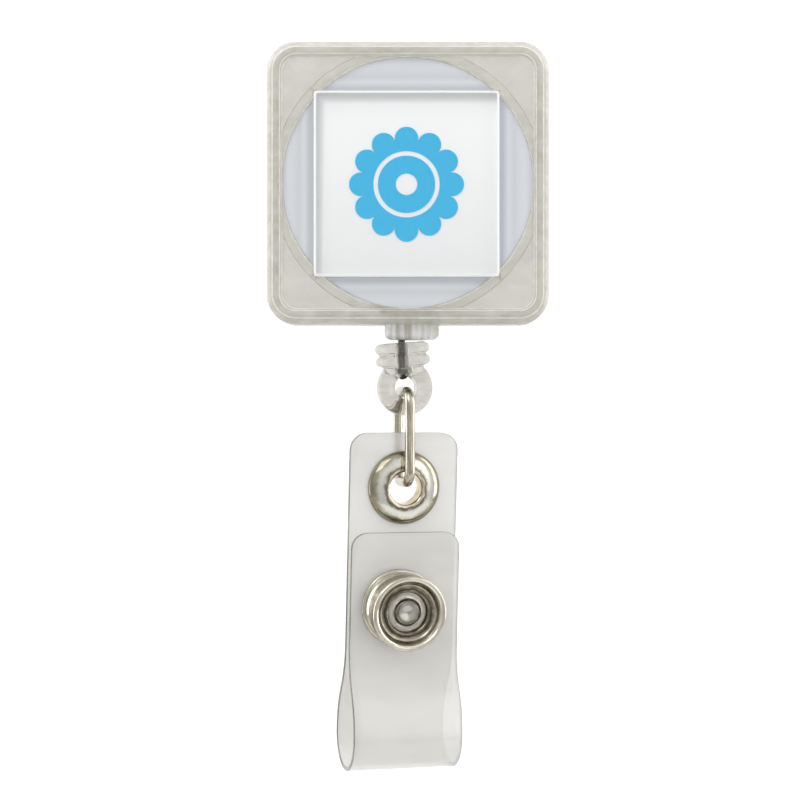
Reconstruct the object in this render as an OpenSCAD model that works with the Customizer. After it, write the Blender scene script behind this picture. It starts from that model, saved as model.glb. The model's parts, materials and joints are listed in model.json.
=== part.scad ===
// Retractable badge reel: a square reel on a swivelling bulldog clip, with a cord, a clear
// stopper, a wire link and a snap-closed vinyl badge strap.
// Millimetres. +X to the right, +Y from the label towards the wearer, +Z up.
// The origin is the point where the clip's jaws grip.

/* [Case] */
// Width and height of the square case
case_w = 31.75; // [31.5:0.25:34]
// Radius of the case's four corners
corner_r = 3.4; // [3:0.1:4]
// Depth of the front shell, from the parting line to its rim
front_d = 4.9; // [4.9:0.1:6]
// Depth of the back shell, from the parting line to its back
back_d = 4.7; // [4.7:0.1:6]
// Wall thickness of both shells
wall = 1.2; // [1:0.1:1.4]
// Half width of the flat panel inside the raised rim
panel_half = 14.2; // [13.8:0.1:14.4]
// Radius of the rounded front edge
rim_round = 1.5; // [0.8:0.1:1.6]

/* [Face] */
// Radius of the round face disc
disc_r = 14.04; // [13:0.02:14.1]
// Radius of the raised ring around the disc
ring_r = 15.2; // [14.6:0.1:16]
// Side of the square label
label_w = 20.7; // [16:0.1:21]
// Thickness of the label's clear dome
dome_t = 1.2; // [0.8:0.1:1.6]

/* [Reel] */
// Diameter of the cord
cord_d = 0.8; // [0.6:0.1:0.9]
// Radius of the drum's flanges
drum_r = 13.2; // [12.8:0.1:13.4]
// Outer radius of the drum's barrel, where the cord starts
barrel_r = 8.6; // [8:0.1:9]
// Outer radius of the wound cord
wound_r = 12.3; // [11:0.1:12.5]
// Radius of the fixed post that the drum turns on
post_r = 2.5; // [2.3:0.1:2.7]

/* [Hanging parts] */
// Turn of the hanging parts about the vertical
yaw = 16; // [0:1:25]
// Lean of the stopper to the left
lean = 4; // [0:1:8]
// Diameter of the link's wire
wire_d = 1.18; // [1:0.02:1.3]
// Backward tilt of the strap
tilt = 5; // [0:1:6]

/* [Strap] */
// Width of the strap
strap_w = 12.7; // [10:0.1:16]
// Thickness of the strap's vinyl
strap_t = 0.5; // [0.3:0.05:0.6]
// Half depth of the loop that the badge hangs on, between the middles of its layers
loop_half = 3.8; // [3.4:0.1:4.2]

/* [Clip] */
// Thickness of the clip's steel
steel_t = 0.6; // [0.5:0.05:0.7]
// Width of the clip across its ears
clip_w = 10.5; // [9:0.1:12]

/* [Hidden] */
$fn = 72;
small = 0.02;
running = 0.05;

// Places behind the case, as depths back from the parting line
washer_t = 0.3;
base_back = back_d + 0.05 + washer_t + steel_t;
grip_up = -13.8;
// The case's centre, seen from the grip point
case_at = [0, -(base_back + 0.05), -grip_up];

// Levels in the front shell, forward of the parting line
panel_z = 4.3;
ring_z = 4.45;
recess_z = 3.1;
floor_z = 2.2;
disc_t = 0.8;
card_t = 0.2;
ink_t = 0.06;
label_at = [-0.15, -0.19, recess_z + disc_t];
label_r = 0.5;
dome_edge = 0.25;

// Drum and its post
groove_half = 1.2;
flange_t = 0.75;
chamber_r = barrel_r - 0.7;
barrel_back = -2.7;
cap_t = 0.6;
back_in = -back_d + wall;
post_top = 1.9;
post_bore = post_r - 0.85;
spring_t = 0.15;
spring_turns = 8;

// Corner pins and their sockets
pin_at = case_w / 2 - 3.15;
pin_r = 0.8;

// Outlet for the cord
outlet_x = 0.45;
outlet_w = 6.2;
outlet_low = -17.5;
outlet_half_d = 2.7;
outlet_bore = 1.7;
cord_r = cord_d / 2;
cord_x = -0.7;
cord_turn_z = -15.6;
tail_top = -16.2;
tail_low = -20.55;
knot_r = 0.75;
knot_z = -21.25;

// The lead leaves the winding on a tangent and runs to the outlet
lead_r = wound_r + cord_r + 0.05;
lead_far = norm([cord_x, cord_turn_z]);
lead_angle = asin(lead_r / lead_far) - atan2(-cord_x, -cord_turn_z);
lead_dir = [-sin(lead_angle), 0, cos(lead_angle)];
lead_len = sqrt(lead_far * lead_far - lead_r * lead_r);

// Stopper, link and strap
ring_at = [-0.35, 0, -22.9];
eye_r = 1.3;
stopper_r = 3.185;
rib_r = 3.11;
eye_half_t = 1.2;
wire_r = wire_d / 2;
link_x = -0.45;
link_top = -23.35;
link_low = -33.6;
link_half = 2.5;
link_bend = 1.5;
grommet_at = [-0.55, 0, -34.2];
grommet_hole = 1.85;
strap_top = 6.23;
strap_straight = -17.77;
loop_z = -28.2;
layer_gap = 1.6;
loop_y = -layer_gap / 2;
flap_top = -4.97;
snap_at = [-0.7, 0, -13.4];
snap_floor = 4.2;
snap_rim = 6.7;
// The fold's round edge stands a little proud of the vinyl, and the back layer stops short of it, so
// that the two layers' outsides never meet while the flap opens
fold_r = strap_t / 2 + 0.03;
flap_opens = 120;
fold_clear = strap_t / 2 / tan((180 - flap_opens) / 2) + running;
swell = loop_half - layer_gap / 2;
swell_drop = strap_straight - loop_z;
swell_angle = 2 * atan(swell / swell_drop);
swell_r = swell_drop / sin(swell_angle) / 2;

// Clip
pivot = [4.5, -8.2];
clip_pin_r = 0.6;
clip_top = 15;
clip_low = -14.4;
rivet_r = 0.9;

function unit(v) = v / norm(v);
function spiral_point(r, angle) = r * [cos(angle), sin(angle)];
function spring_point(x, r, angle) = [x, pivot[0] - r * sin(angle), pivot[1] + r * cos(angle)];
function beside(path, d) = [for (i = [0:len(path) - 1])
    let (t = unit(path[min(i + 1, len(path) - 1)] - path[max(i - 1, 0)])) path[i] + d * [-t[1], t[0]]];
function arc(c, r, a0, a1, n = 8) = [for (i = [0:n]) let (a = a0 + (a1 - a0) * i / n) c + r * [cos(a), sin(a)]];

// Case frame: the sketch plane faces front, with depth measured forward of the parting line
module in_case() { translate(case_at) rotate([90, 0, 0]) children(); }

// Hanging frame: the part's own axes, measured from the case's centre
module from_case() { translate(case_at) children(); }

// Strap frame: x across the strap, y towards its back, z up, from the grommet's centre
module in_strap() {
    from_case() translate(grommet_at) rotate([0, 0, yaw]) rotate([tilt, 0, 0]) children();
}

// Extrudes a sketch of (up, forward) along +X
module along_x(x0, length) { translate([x0, 0, 0]) rotate([90, 0, 90]) linear_extrude(length) children(); }

// Turns a sketch of (radius, depth) about the y axis, with depth towards the front
module turned_front() { rotate([90, 0, 0]) rotate_extrude() children(); }

module rounded_square(half, r) {
    square([2 * half, 2 * (half - r)], center = true);
    square([2 * (half - r), 2 * half], center = true);
    for (x = [-1, 1], y = [-1, 1]) translate([x, y] * (half - r)) circle(r);
}

// Runs a wall's section around a rounded square; the section's x starts at the corner's centre
module around_square(half, r) {
    for (q = [0:3]) rotate(90 * q) translate([half - r, half - r]) {
        rotate_extrude(angle = 90) children();
        rotate([90, 0, 0]) linear_extrude(2 * (half - r)) children();
    }
}

// A round tube along a path; side_dir is never along the path
module tube(path, r, sides, side_dir) {
    n = len(path);
    points = [for (i = [0:n - 1])
        let (t = unit(path[min(i + 1, n - 1)] - path[max(i - 1, 0)]), a = unit(cross(side_dir, t)),
            b = cross(t, a))
        for (k = [0:sides - 1]) path[i] + r * (cos(360 * k / sides) * a + sin(360 * k / sides) * b)];
    walls = [for (i = [0:n - 2], k = [0:sides - 1])
        let (m = (k + 1) % sides) [i * sides + k, (i + 1) * sides + k, (i + 1) * sides + m, i * sides + m]];
    start = [for (k = [0:sides - 1]) k];
    finish = [for (k = [sides - 1:-1:0]) (n - 1) * sides + k];
    polyhedron(points, concat([start], walls, [finish]), convexity = 6);
}

module corner_places() { for (x = [-1, 1], y = [-1, 1]) translate([x, y] * pin_at) children(); }

// The neck that the cord leaves by, and its bore with a mouth that opens towards the winding
module outlet(depth) {
    round_r = 0.9;
    boss_half = 2.4;
    outlet_in = -15;
    linear_extrude(depth) {
        translate([outlet_x - outlet_w / 2, outlet_low + round_r])
            square([outlet_w, outlet_in - outlet_low - round_r]);
        translate([outlet_x - outlet_w / 2 + round_r, outlet_low]) square([outlet_w - 2 * round_r, 3]);
        for (s = [-1, 1])
            translate([outlet_x + s * (outlet_w / 2 - round_r), outlet_low + round_r]) circle(round_r);
        translate([outlet_x - boss_half, outlet_in - 0.5]) square([2 * boss_half, 1.3]);
    }
}
module outlet_bore() {
    mouth_t = 2.4;
    translate([outlet_x, -13, 0]) rotate([90, 0, 0]) cylinder(h = 6, r = outlet_bore);
    translate([0, 0, -mouth_t / 2]) linear_extrude(mouth_t) polygon([
        [outlet_x - outlet_bore, -16], [outlet_x + outlet_bore, -16], [3, -13.5], [-5.2, -13.5],
    ]);
}

module front_shell() color([0.82, 0.81, 0.78, 0.6]) in_case() {
    step_in = corner_r - (case_w / 2 - panel_half);
    difference() {
        union() {
            around_square(case_w / 2, corner_r) polygon(concat(
                [[corner_r - wall, 0], [corner_r, 0]],
                arc([corner_r - rim_round, front_d - rim_round], rim_round, 0, 90),
                [[step_in, front_d], [step_in, floor_z + 0.4], [corner_r - wall, floor_z + 0.4]]
            ));
            translate([0, 0, floor_z]) linear_extrude(panel_z - floor_z)
                rounded_square(case_w / 2 - wall / 2, corner_r - wall / 2);
            intersection() {
                translate([0, 0, floor_z]) cylinder(h = ring_z - floor_z, r = ring_r);
                linear_extrude(front_d) square(2 * panel_half + wall, center = true);
            }
            outlet(outlet_half_d);
            corner_places() cylinder(h = floor_z + 0.1, r = 2 * pin_r);
        }
        translate([0, 0, recess_z]) cylinder(h = front_d, r = disc_r + small);
        translate(label_at) linear_extrude(front_d) rounded_square(label_w / 2 + running, label_r + running);
        outlet_bore();
    }
    corner_places() translate([0, 0, -1.5]) cylinder(h = 1.6, r = pin_r);
    translate([0, 0, post_top - 1.5]) cylinder(h = floor_z - post_top + 1.6, r = post_bore - running);
}

module back_shell() color([0.83, 0.82, 0.79, 0.6]) in_case() {
    difference() {
        union() {
            around_square(case_w / 2, corner_r) polygon(concat(
                [[corner_r, 0], [corner_r - wall, 0], [corner_r - wall, back_in],
                 [corner_r - rim_round, -back_d]],
                arc([corner_r - rim_round, rim_round - back_d], rim_round, -90, 0)
            ));
            translate([0, 0, -back_d]) linear_extrude(wall) rounded_square(case_w / 2 - wall, corner_r - wall);
            translate([0, 0, back_in - 0.1]) cylinder(h = post_top - back_in + 0.1, r = post_r);
            corner_places() translate([0, 0, back_in - 0.1]) cylinder(h = -back_in + 0.1, r = 2 * pin_r);
            mirror([0, 0, 1]) outlet(outlet_half_d);
        }
        translate([0, 0, back_in]) cylinder(h = post_top, r = post_bore, $fn = 48);
        cylinder(h = 2 * post_top, r = post_bore, $fn = 48);
        translate([0, 0, -back_d - 1]) cylinder(h = back_d, r = rivet_r + running, $fn = 48);
        translate([0, -0.25, back_in + 0.5]) cube([post_r + 1, 0.5, 3.5]);
        corner_places() translate([0, 0, -1.6]) cylinder(h = 2, r = pin_r + running);
        outlet_bore();
    }
}

module face_disc() color([0.81, 0.83, 0.86]) in_case()
    translate([0, 0, recess_z]) cylinder(h = disc_t, r = disc_r);

module label_card() color([0.95, 0.95, 0.95]) in_case()
    translate(label_at) linear_extrude(card_t) rounded_square(label_w / 2, label_r);

// A plain rosette: a disc with scallops around its edge, printed as a ring and a middle
module label_emblem() color([0.28, 0.71, 0.87]) in_case() {
    scallops = 12;
    scallop_at = 5.1;
    translate(label_at + [0, 0, card_t]) linear_extrude(ink_t) {
        difference() {
            union() {
                circle(scallop_at);
                for (i = [0:scallops - 1])
                    rotate(360 * i / scallops) translate([scallop_at, 0]) circle(1.33, $fn = 32);
            }
            circle(3.7);
        }
        difference() {
            circle(3.2);
            circle(1.2);
        }
    }
}

module label_dome() color([0.97, 0.97, 0.97, 0.4]) in_case()
    translate(label_at + [0, 0, card_t + ink_t + small]) {
        linear_extrude(dome_t - dome_edge) rounded_square(label_w / 2, label_r);
        translate([0, 0, dome_t - dome_edge]) linear_extrude(dome_edge)
            rounded_square(label_w / 2 - dome_edge, label_r);
    }

module cord_lead() color([0.4, 0.43, 0.43]) from_case() {
    turn = [cord_x, 0, cord_turn_z];
    bend = 0.6;
    tube(concat(
        [for (f = [1:-0.2:0]) turn + lead_dir * (bend + f * (lead_len - bend))],
        [turn + lead_dir * bend * 0.35 - [0, 0, bend * 0.35]],
        [for (up = [0.2, small]) [cord_x, 0, tail_top + up]]
    ), cord_r, 8, [0, 1, 0]);
}

module drum() color([0.93, 0.93, 0.91]) in_case() difference() {
    union() {
        translate([0, 0, groove_half]) cylinder(h = flange_t, r = drum_r);
        translate([0, 0, -groove_half - flange_t]) cylinder(h = flange_t, r = drum_r);
        translate([0, 0, barrel_back]) cylinder(h = groove_half - barrel_back + 0.1, r = barrel_r);
    }
    translate([0, 0, barrel_back - 1]) cylinder(h = groove_half - barrel_back + 1, r = chamber_r);
    translate([0, 0, -5]) cylinder(h = 10, r = post_r + running);
    translate([0, 0, barrel_back - 1]) rotate(30) translate([chamber_r - 0.5, -0.3, 0]) cube([1.6, 0.6, 1.5]);
}

module drum_cap() color([0.9, 0.9, 0.88]) in_case()
    translate([0, 0, barrel_back - cap_t]) difference() {
        cylinder(h = cap_t - small, r = barrel_r);
        translate([0, 0, -1]) cylinder(h = 3, r = post_r + running);
    }

// A flat spiral of strip steel from the post to the drum's barrel
module power_spring() color([0.55, 0.56, 0.58]) in_case() {
    inner = post_r + 0.2;
    outer = chamber_r - spring_t - 0.1;
    steps = 24 * spring_turns;
    translate([0, 0, barrel_back + 0.2]) linear_extrude(groove_half - barrel_back - 0.4) polygon(concat(
        [for (i = [0:steps]) spiral_point(inner + (outer - inner) * i / steps, 15 * i)],
        [for (i = [steps:-1:0]) spiral_point(inner + (outer - inner) * i / steps + spring_t, 15 * i)]
    ));
}

module cord_winding() color([0.42, 0.45, 0.45]) in_case()
    translate([0, 0, -groove_half + small]) difference() {
        cylinder(h = 2 * (groove_half - small), r = wound_r);
        translate([0, 0, -1]) cylinder(h = 5, r = barrel_r + small);
    }

module cord_tail() color([0.4, 0.43, 0.43]) from_case()
    translate([cord_x, 0, tail_low]) cylinder(h = tail_top - tail_low, r = cord_r, $fn = 24);

module cord_knot() color([0.3, 0.33, 0.33]) from_case()
    translate([cord_x + 0.1, 0, knot_z]) sphere(knot_r, $fn = 32);

// Two rounded ribs on a waist, with an eye below for the wire link
module cord_stopper() color([0.9, 0.9, 0.89, 0.5]) from_case() {
    rib_tops = [5.14, 3.78];
    rib_h = 1.35;
    pocket_r = 0.95;
    shoulder = 2.5;
    translate(ring_at) rotate([0, 0, yaw]) difference() {
        union() {
            rotate([0, -lean, 0]) {
                for (top = rib_tops) translate([0, 0, top - rib_h / 2]) rotate_extrude()
                    polygon(concat([[0, -rib_h / 2]],
                        arc([rib_r - rib_h / 2, 0], rib_h / 2, -90, 90, 10), [[0, rib_h / 2]]));
                translate([0, 0, 1.6]) cylinder(h = rib_tops[0] - 2, r = 2.3);
            }
            turned_front() polygon(concat(
                [[eye_r, -0.7], [1.9, -eye_half_t]],
                arc([stopper_r - 0.8, 0.8 - eye_half_t], 0.8, -90, 0, 6),
                arc([stopper_r - 0.8, eye_half_t - 0.8], 0.8, 0, 90, 6),
                [[1.9, eye_half_t], [eye_r, 0.7]]
            ));
        }
        rotate([0, -lean, 0]) {
            translate([0, 0, shoulder - small]) cylinder(h = 4, r = cord_r + 0.25, $fn = 36);
            cylinder(h = shoulder, r = pocket_r, $fn = 36);
        }
        rotate([90, 0, 0]) cylinder(h = 4, r = eye_r, center = true);
    }
}

// A rounded rectangle of wire, seen from its side
module wire_link() color([0.66, 0.64, 0.6]) from_case() translate([link_x, 0, 0]) rotate([0, 0, yaw]) {
    run = link_half - link_bend;
    for (s = [-1, 1]) {
        translate([0, s * link_half, link_low + link_bend])
            cylinder(h = link_top - link_low - 2 * link_bend, r = wire_r, $fn = 32);
        translate([0, run, (s + 1) / 2 * (link_top - link_low) + link_low])
            rotate([90, 0, 0]) cylinder(h = 2 * run, r = wire_r, $fn = 32);
        for (e = [-1, 1])
            translate([0, s * run, e > 0 ? link_top - link_bend : link_low + link_bend])
                rotate([90, 0, 90]) rotate(e > 0 ? (s > 0 ? 0 : 90) : (s > 0 ? -90 : 180))
                    rotate_extrude(angle = 90) translate([link_bend, 0]) circle(wire_r, $fn = 32);
    }
}

// A strip bent along a path of (back, up) points, rounded at the top corners and cut to the strap's width
module strap_strip(path, top, round_r) {
    intersection() {
        along_x(-strap_w, 2 * strap_w) polygon(concat(
            beside(path, strap_t / 2), [for (i = [len(path) - 1:-1:0]) beside(path, -strap_t / 2)[i]]
        ));
        translate([0, 20, 0]) rotate([90, 0, 0]) linear_extrude(40) {
            translate([-strap_w / 2, top - 50]) square([strap_w, 50 - round_r]);
            translate([-strap_w / 2 + round_r, top - 50]) square([strap_w - 2 * round_r, 50]);
            for (s = [-1, 1]) translate([s * (strap_w / 2 - round_r), top - round_r]) circle(round_r);
        }
    }
}

// A round hole through the strap, from front to back
module strap_hole(at, r) { translate(at) rotate([90, 0, 0]) cylinder(h = 6, r = r, center = true); }

// The fold's round edge, which the flap turns on
module fold_edge(r, length) {
    translate([0, loop_y - loop_half, loop_z]) rotate([0, 90, 0])
        cylinder(h = length, r = r, center = true, $fn = 32);
}

module strap_back() color([0.87, 0.87, 0.85, 0.45]) in_strap() difference() {
    strap_strip(concat(
        [[0, strap_top], [0, strap_straight + 0.1]],
        arc([swell_r, strap_straight], swell_r, 180, 180 + swell_angle, 10),
        arc([swell - swell_r, loop_z], swell_r, swell_angle - 3, 0, 9),
        arc([loop_y, loop_z], loop_half, -6, -180, 29)
    ), strap_top, 2);
    strap_hole([0, 0, 0], grommet_hole + 0.35);
    strap_hole(snap_at, 1.1);
    fold_edge(fold_clear, strap_w + 1);
}

module strap_flap() color([0.88, 0.88, 0.86, 0.45]) in_strap() difference() {
    union() {
        strap_strip(concat(
            [[-layer_gap, flap_top], [-layer_gap, strap_straight + 0.1]],
            arc([-layer_gap - swell_r, strap_straight], swell_r, 0, -swell_angle, 10),
            arc([loop_y - loop_half + swell_r, loop_z], swell_r, 183 - swell_angle, 180, 9)
        ), flap_top, 1.8);
        fold_edge(fold_r, strap_w);
    }
    translate([0, -layer_gap, 0]) strap_hole(snap_at, 2.3);
}

module grommet_front() color([0.78, 0.77, 0.75]) in_strap() {
    face = strap_t / 2 + small;
    turned_front() polygon(concat(
        [[grommet_hole, -0.95], [grommet_hole + 0.3, -0.95], [grommet_hole + 0.3, face], [4.2, face],
         [4.2, face + 0.3]],
        arc([3.0, face + 0.25], 0.95, 20, 90, 5),
        arc([2.7, face + 0.25], 0.85, 90, 180, 5)
    ));
}

module grommet_back() color([0.78, 0.77, 0.75]) in_strap() {
    face = -strap_t / 2 - small;
    turned_front() polygon([
        [grommet_hole + 0.32, face], [4.1, face], [4.1, face - 0.25], [3.6, face - 0.5],
        [grommet_hole + 0.32, face - 0.5],
    ]);
}

module snap_stud() color([0.78, 0.77, 0.75]) in_strap() translate(snap_at) {
    face = strap_t / 2 + small;
    turned_front() polygon(concat(
        [[1.0, face], [3.4, face], [3.4, face + 0.2], [3.1, face + 0.35], [1.45, face + 0.35], [1.45, 1.9]],
        arc([0.75, 1.9], 0.7, 0, 90, 5),
        [[0, 2.6], [0, 0.9], [1.0, 0.9]]
    ));
}

module snap_cap() color([0.78, 0.77, 0.75]) in_strap() translate(snap_at) {
    face = -strap_t / 2 - small;
    turned_front() polygon([
        [0, 0.88], [0.98, 0.88], [0.98, face], [4.2, face], [4.2, face - 0.3], [3.5, face - 0.65],
        [1.8, face - 0.85],
        [0, face - 0.85],
    ]);
}

module snap_socket() color([0.8, 0.79, 0.77]) in_strap() translate(snap_at) {
    face = layer_gap + strap_t / 2 + small;
    turned_front() polygon(concat(
        [[2.3, face], [4.25, face], [4.25, face + 0.4], [4.05, face + 0.6], [4.05, face + 1.4],
         [3.95, face + 1.6]],
        arc([3.55, snap_rim - 0.4], 0.4, 0, 90, 4),
        arc([3.45, snap_rim - 0.4], 0.4, 90, 180, 4),
        [[3.05, snap_floor + 0.6], [2.45, snap_floor], [2.3, snap_floor]]
    ));
}

module socket_eyelet() color([0.74, 0.73, 0.71]) in_strap() translate(snap_at) {
    face = layer_gap - strap_t / 2 - small;
    turned_front() polygon(concat(
        [[1.9, face], [1.9, snap_floor - 0.6], [0, snap_floor - 0.3], [0, snap_floor + 1.5]],
        arc([0.5, snap_floor + 0.6], 0.9, 90, 0, 5),
        [[1.4, snap_floor + 0.25], [2.25, snap_floor], [2.25, face], [3.2, face], [3.2, face - 0.2],
         [1.9, face - 0.2]]
    ));
}

// Plan outline of a jaw: narrow at the mouth, full width at the ears, with a finger pad above
module jaw_plan(ear_half, pad_half) {
    mouth_half = 3.5;
    right = concat(
        arc([mouth_half - 1, clip_low + 1], 1, -90, 0, 5),
        [[ear_half, -1.5], [ear_half, 8], [pad_half, 9.5]],
        arc([pad_half - 1.2, clip_top - 1.2], 1.2, 0, 90, 5)
    );
    polygon(concat(right, [for (i = [len(right) - 1:-1:0]) [-right[i][0], right[i][1]]]));
}

module clip_base() color([0.72, 0.72, 0.72]) in_case() difference() {
    union() {
        translate([0, 0, -base_back]) linear_extrude(steel_t) jaw_plan(clip_w / 2, 5.5);
        for (x = [-clip_w / 2, clip_w / 2 - steel_t]) along_x(x, steel_t) polygon(concat(
            [[7.6, steel_t - base_back]], arc(pivot, 1.6, 0, -180), [[1.4, steel_t - base_back]]
        ));
    }
    along_x(-10, 20) translate(pivot) circle(clip_pin_r + 0.03, $fn = 36);
    translate([0, 0, -10]) cylinder(h = 10, r = rivet_r + small, $fn = 48);
}

module clip_jaw() color([0.74, 0.74, 0.74]) in_case() {
    inside = [[-14.4, -5.75], [-13.4, -5.85], [-11.5, -6.9], [-8.5, -8.4], [-2, -9.5], [6.5, -9.9],
        [9, -10.6], [15, -12.6]];
    ear_out = clip_w / 2 - steel_t - 0.2;
    difference() {
        union() {
            intersection() {
                along_x(-8, 16) polygon(concat(inside,
                    [for (i = [len(inside) - 1:-1:0]) inside[i] - [i > 5 ? 0.15 : -0.15, steel_t]]));
                translate([0, 0, -20]) linear_extrude(20) jaw_plan(ear_out, 5.5);
            }
            for (x = [-ear_out, ear_out - 0.5]) along_x(x, 0.5) polygon(concat(
                [[0.8, -9.8]], arc(pivot, 1.5, 180, 0), [[8, -10.4]]
            ));
        }
        along_x(-10, 20) translate(pivot) circle(clip_pin_r + running, $fn = 36);
    }
}

module clip_pin() color([0.6, 0.6, 0.6]) in_case() {
    along_x(-clip_w / 2 - 0.45, clip_w + 0.9) translate(pivot) circle(clip_pin_r, $fn = 36);
    for (x = [-clip_w / 2 - 0.45, clip_w / 2 + 0.02]) along_x(x, 0.43) translate(pivot) circle(1, $fn = 36);
}

// A torsion spring around the pin, with one leg on each lever
module clip_spring() color([0.5, 0.5, 0.52]) in_case() {
    coil_r = 1.1;
    turns = 4;
    steps = 12 * turns + 6;
    half_l = 1.9;
    tube(concat(
        [[-half_l, 10.5, -6.0], [-half_l, 8.5, -6.25]],
        [for (i = [0:steps]) spring_point(half_l * (2 * i / steps - 1), coil_r, 30 * i)],
        [[half_l, 8.5, -10.1], [half_l, 10.5, -10.75]]
    ), 0.24, 8, [1, 0, 0]);
}

module swivel_rivet() color([0.7, 0.7, 0.7]) in_case() {
    translate([0, 0, -base_back - 0.6]) cylinder(h = base_back + 0.6 + back_in + 0.6, r = rivet_r, $fn = 48);
    translate([0, 0, -base_back - 0.6]) cylinder(h = 0.58, r = 2.1);
    translate([0, 0, back_in + 0.08]) cylinder(h = 0.52, r = post_bore - 0.1, $fn = 48);
}

module swivel_washer() color([0.95, 0.95, 0.95]) in_case()
    translate([0, 0, -back_d - washer_t - 0.03]) difference() {
        cylinder(h = washer_t - small, r = 3);
        translate([0, 0, -1]) cylinder(h = 3, r = rivet_r + small, $fn = 48);
    }

front_shell();
back_shell();
face_disc();
label_card();
label_emblem();
label_dome();
cord_lead();
drum();
drum_cap();
power_spring();
cord_winding();
cord_tail();
cord_knot();
cord_stopper();
wire_link();
strap_back();
grommet_front();
grommet_back();
snap_stud();
snap_cap();
strap_flap();
snap_socket();
socket_eyelet();
clip_base();
clip_jaw();
clip_spring();
clip_pin();
swivel_rivet();
swivel_washer();
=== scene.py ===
"""Looks of a retractable badge reel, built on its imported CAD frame."""

import json
import math
from types import SimpleNamespace

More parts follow.
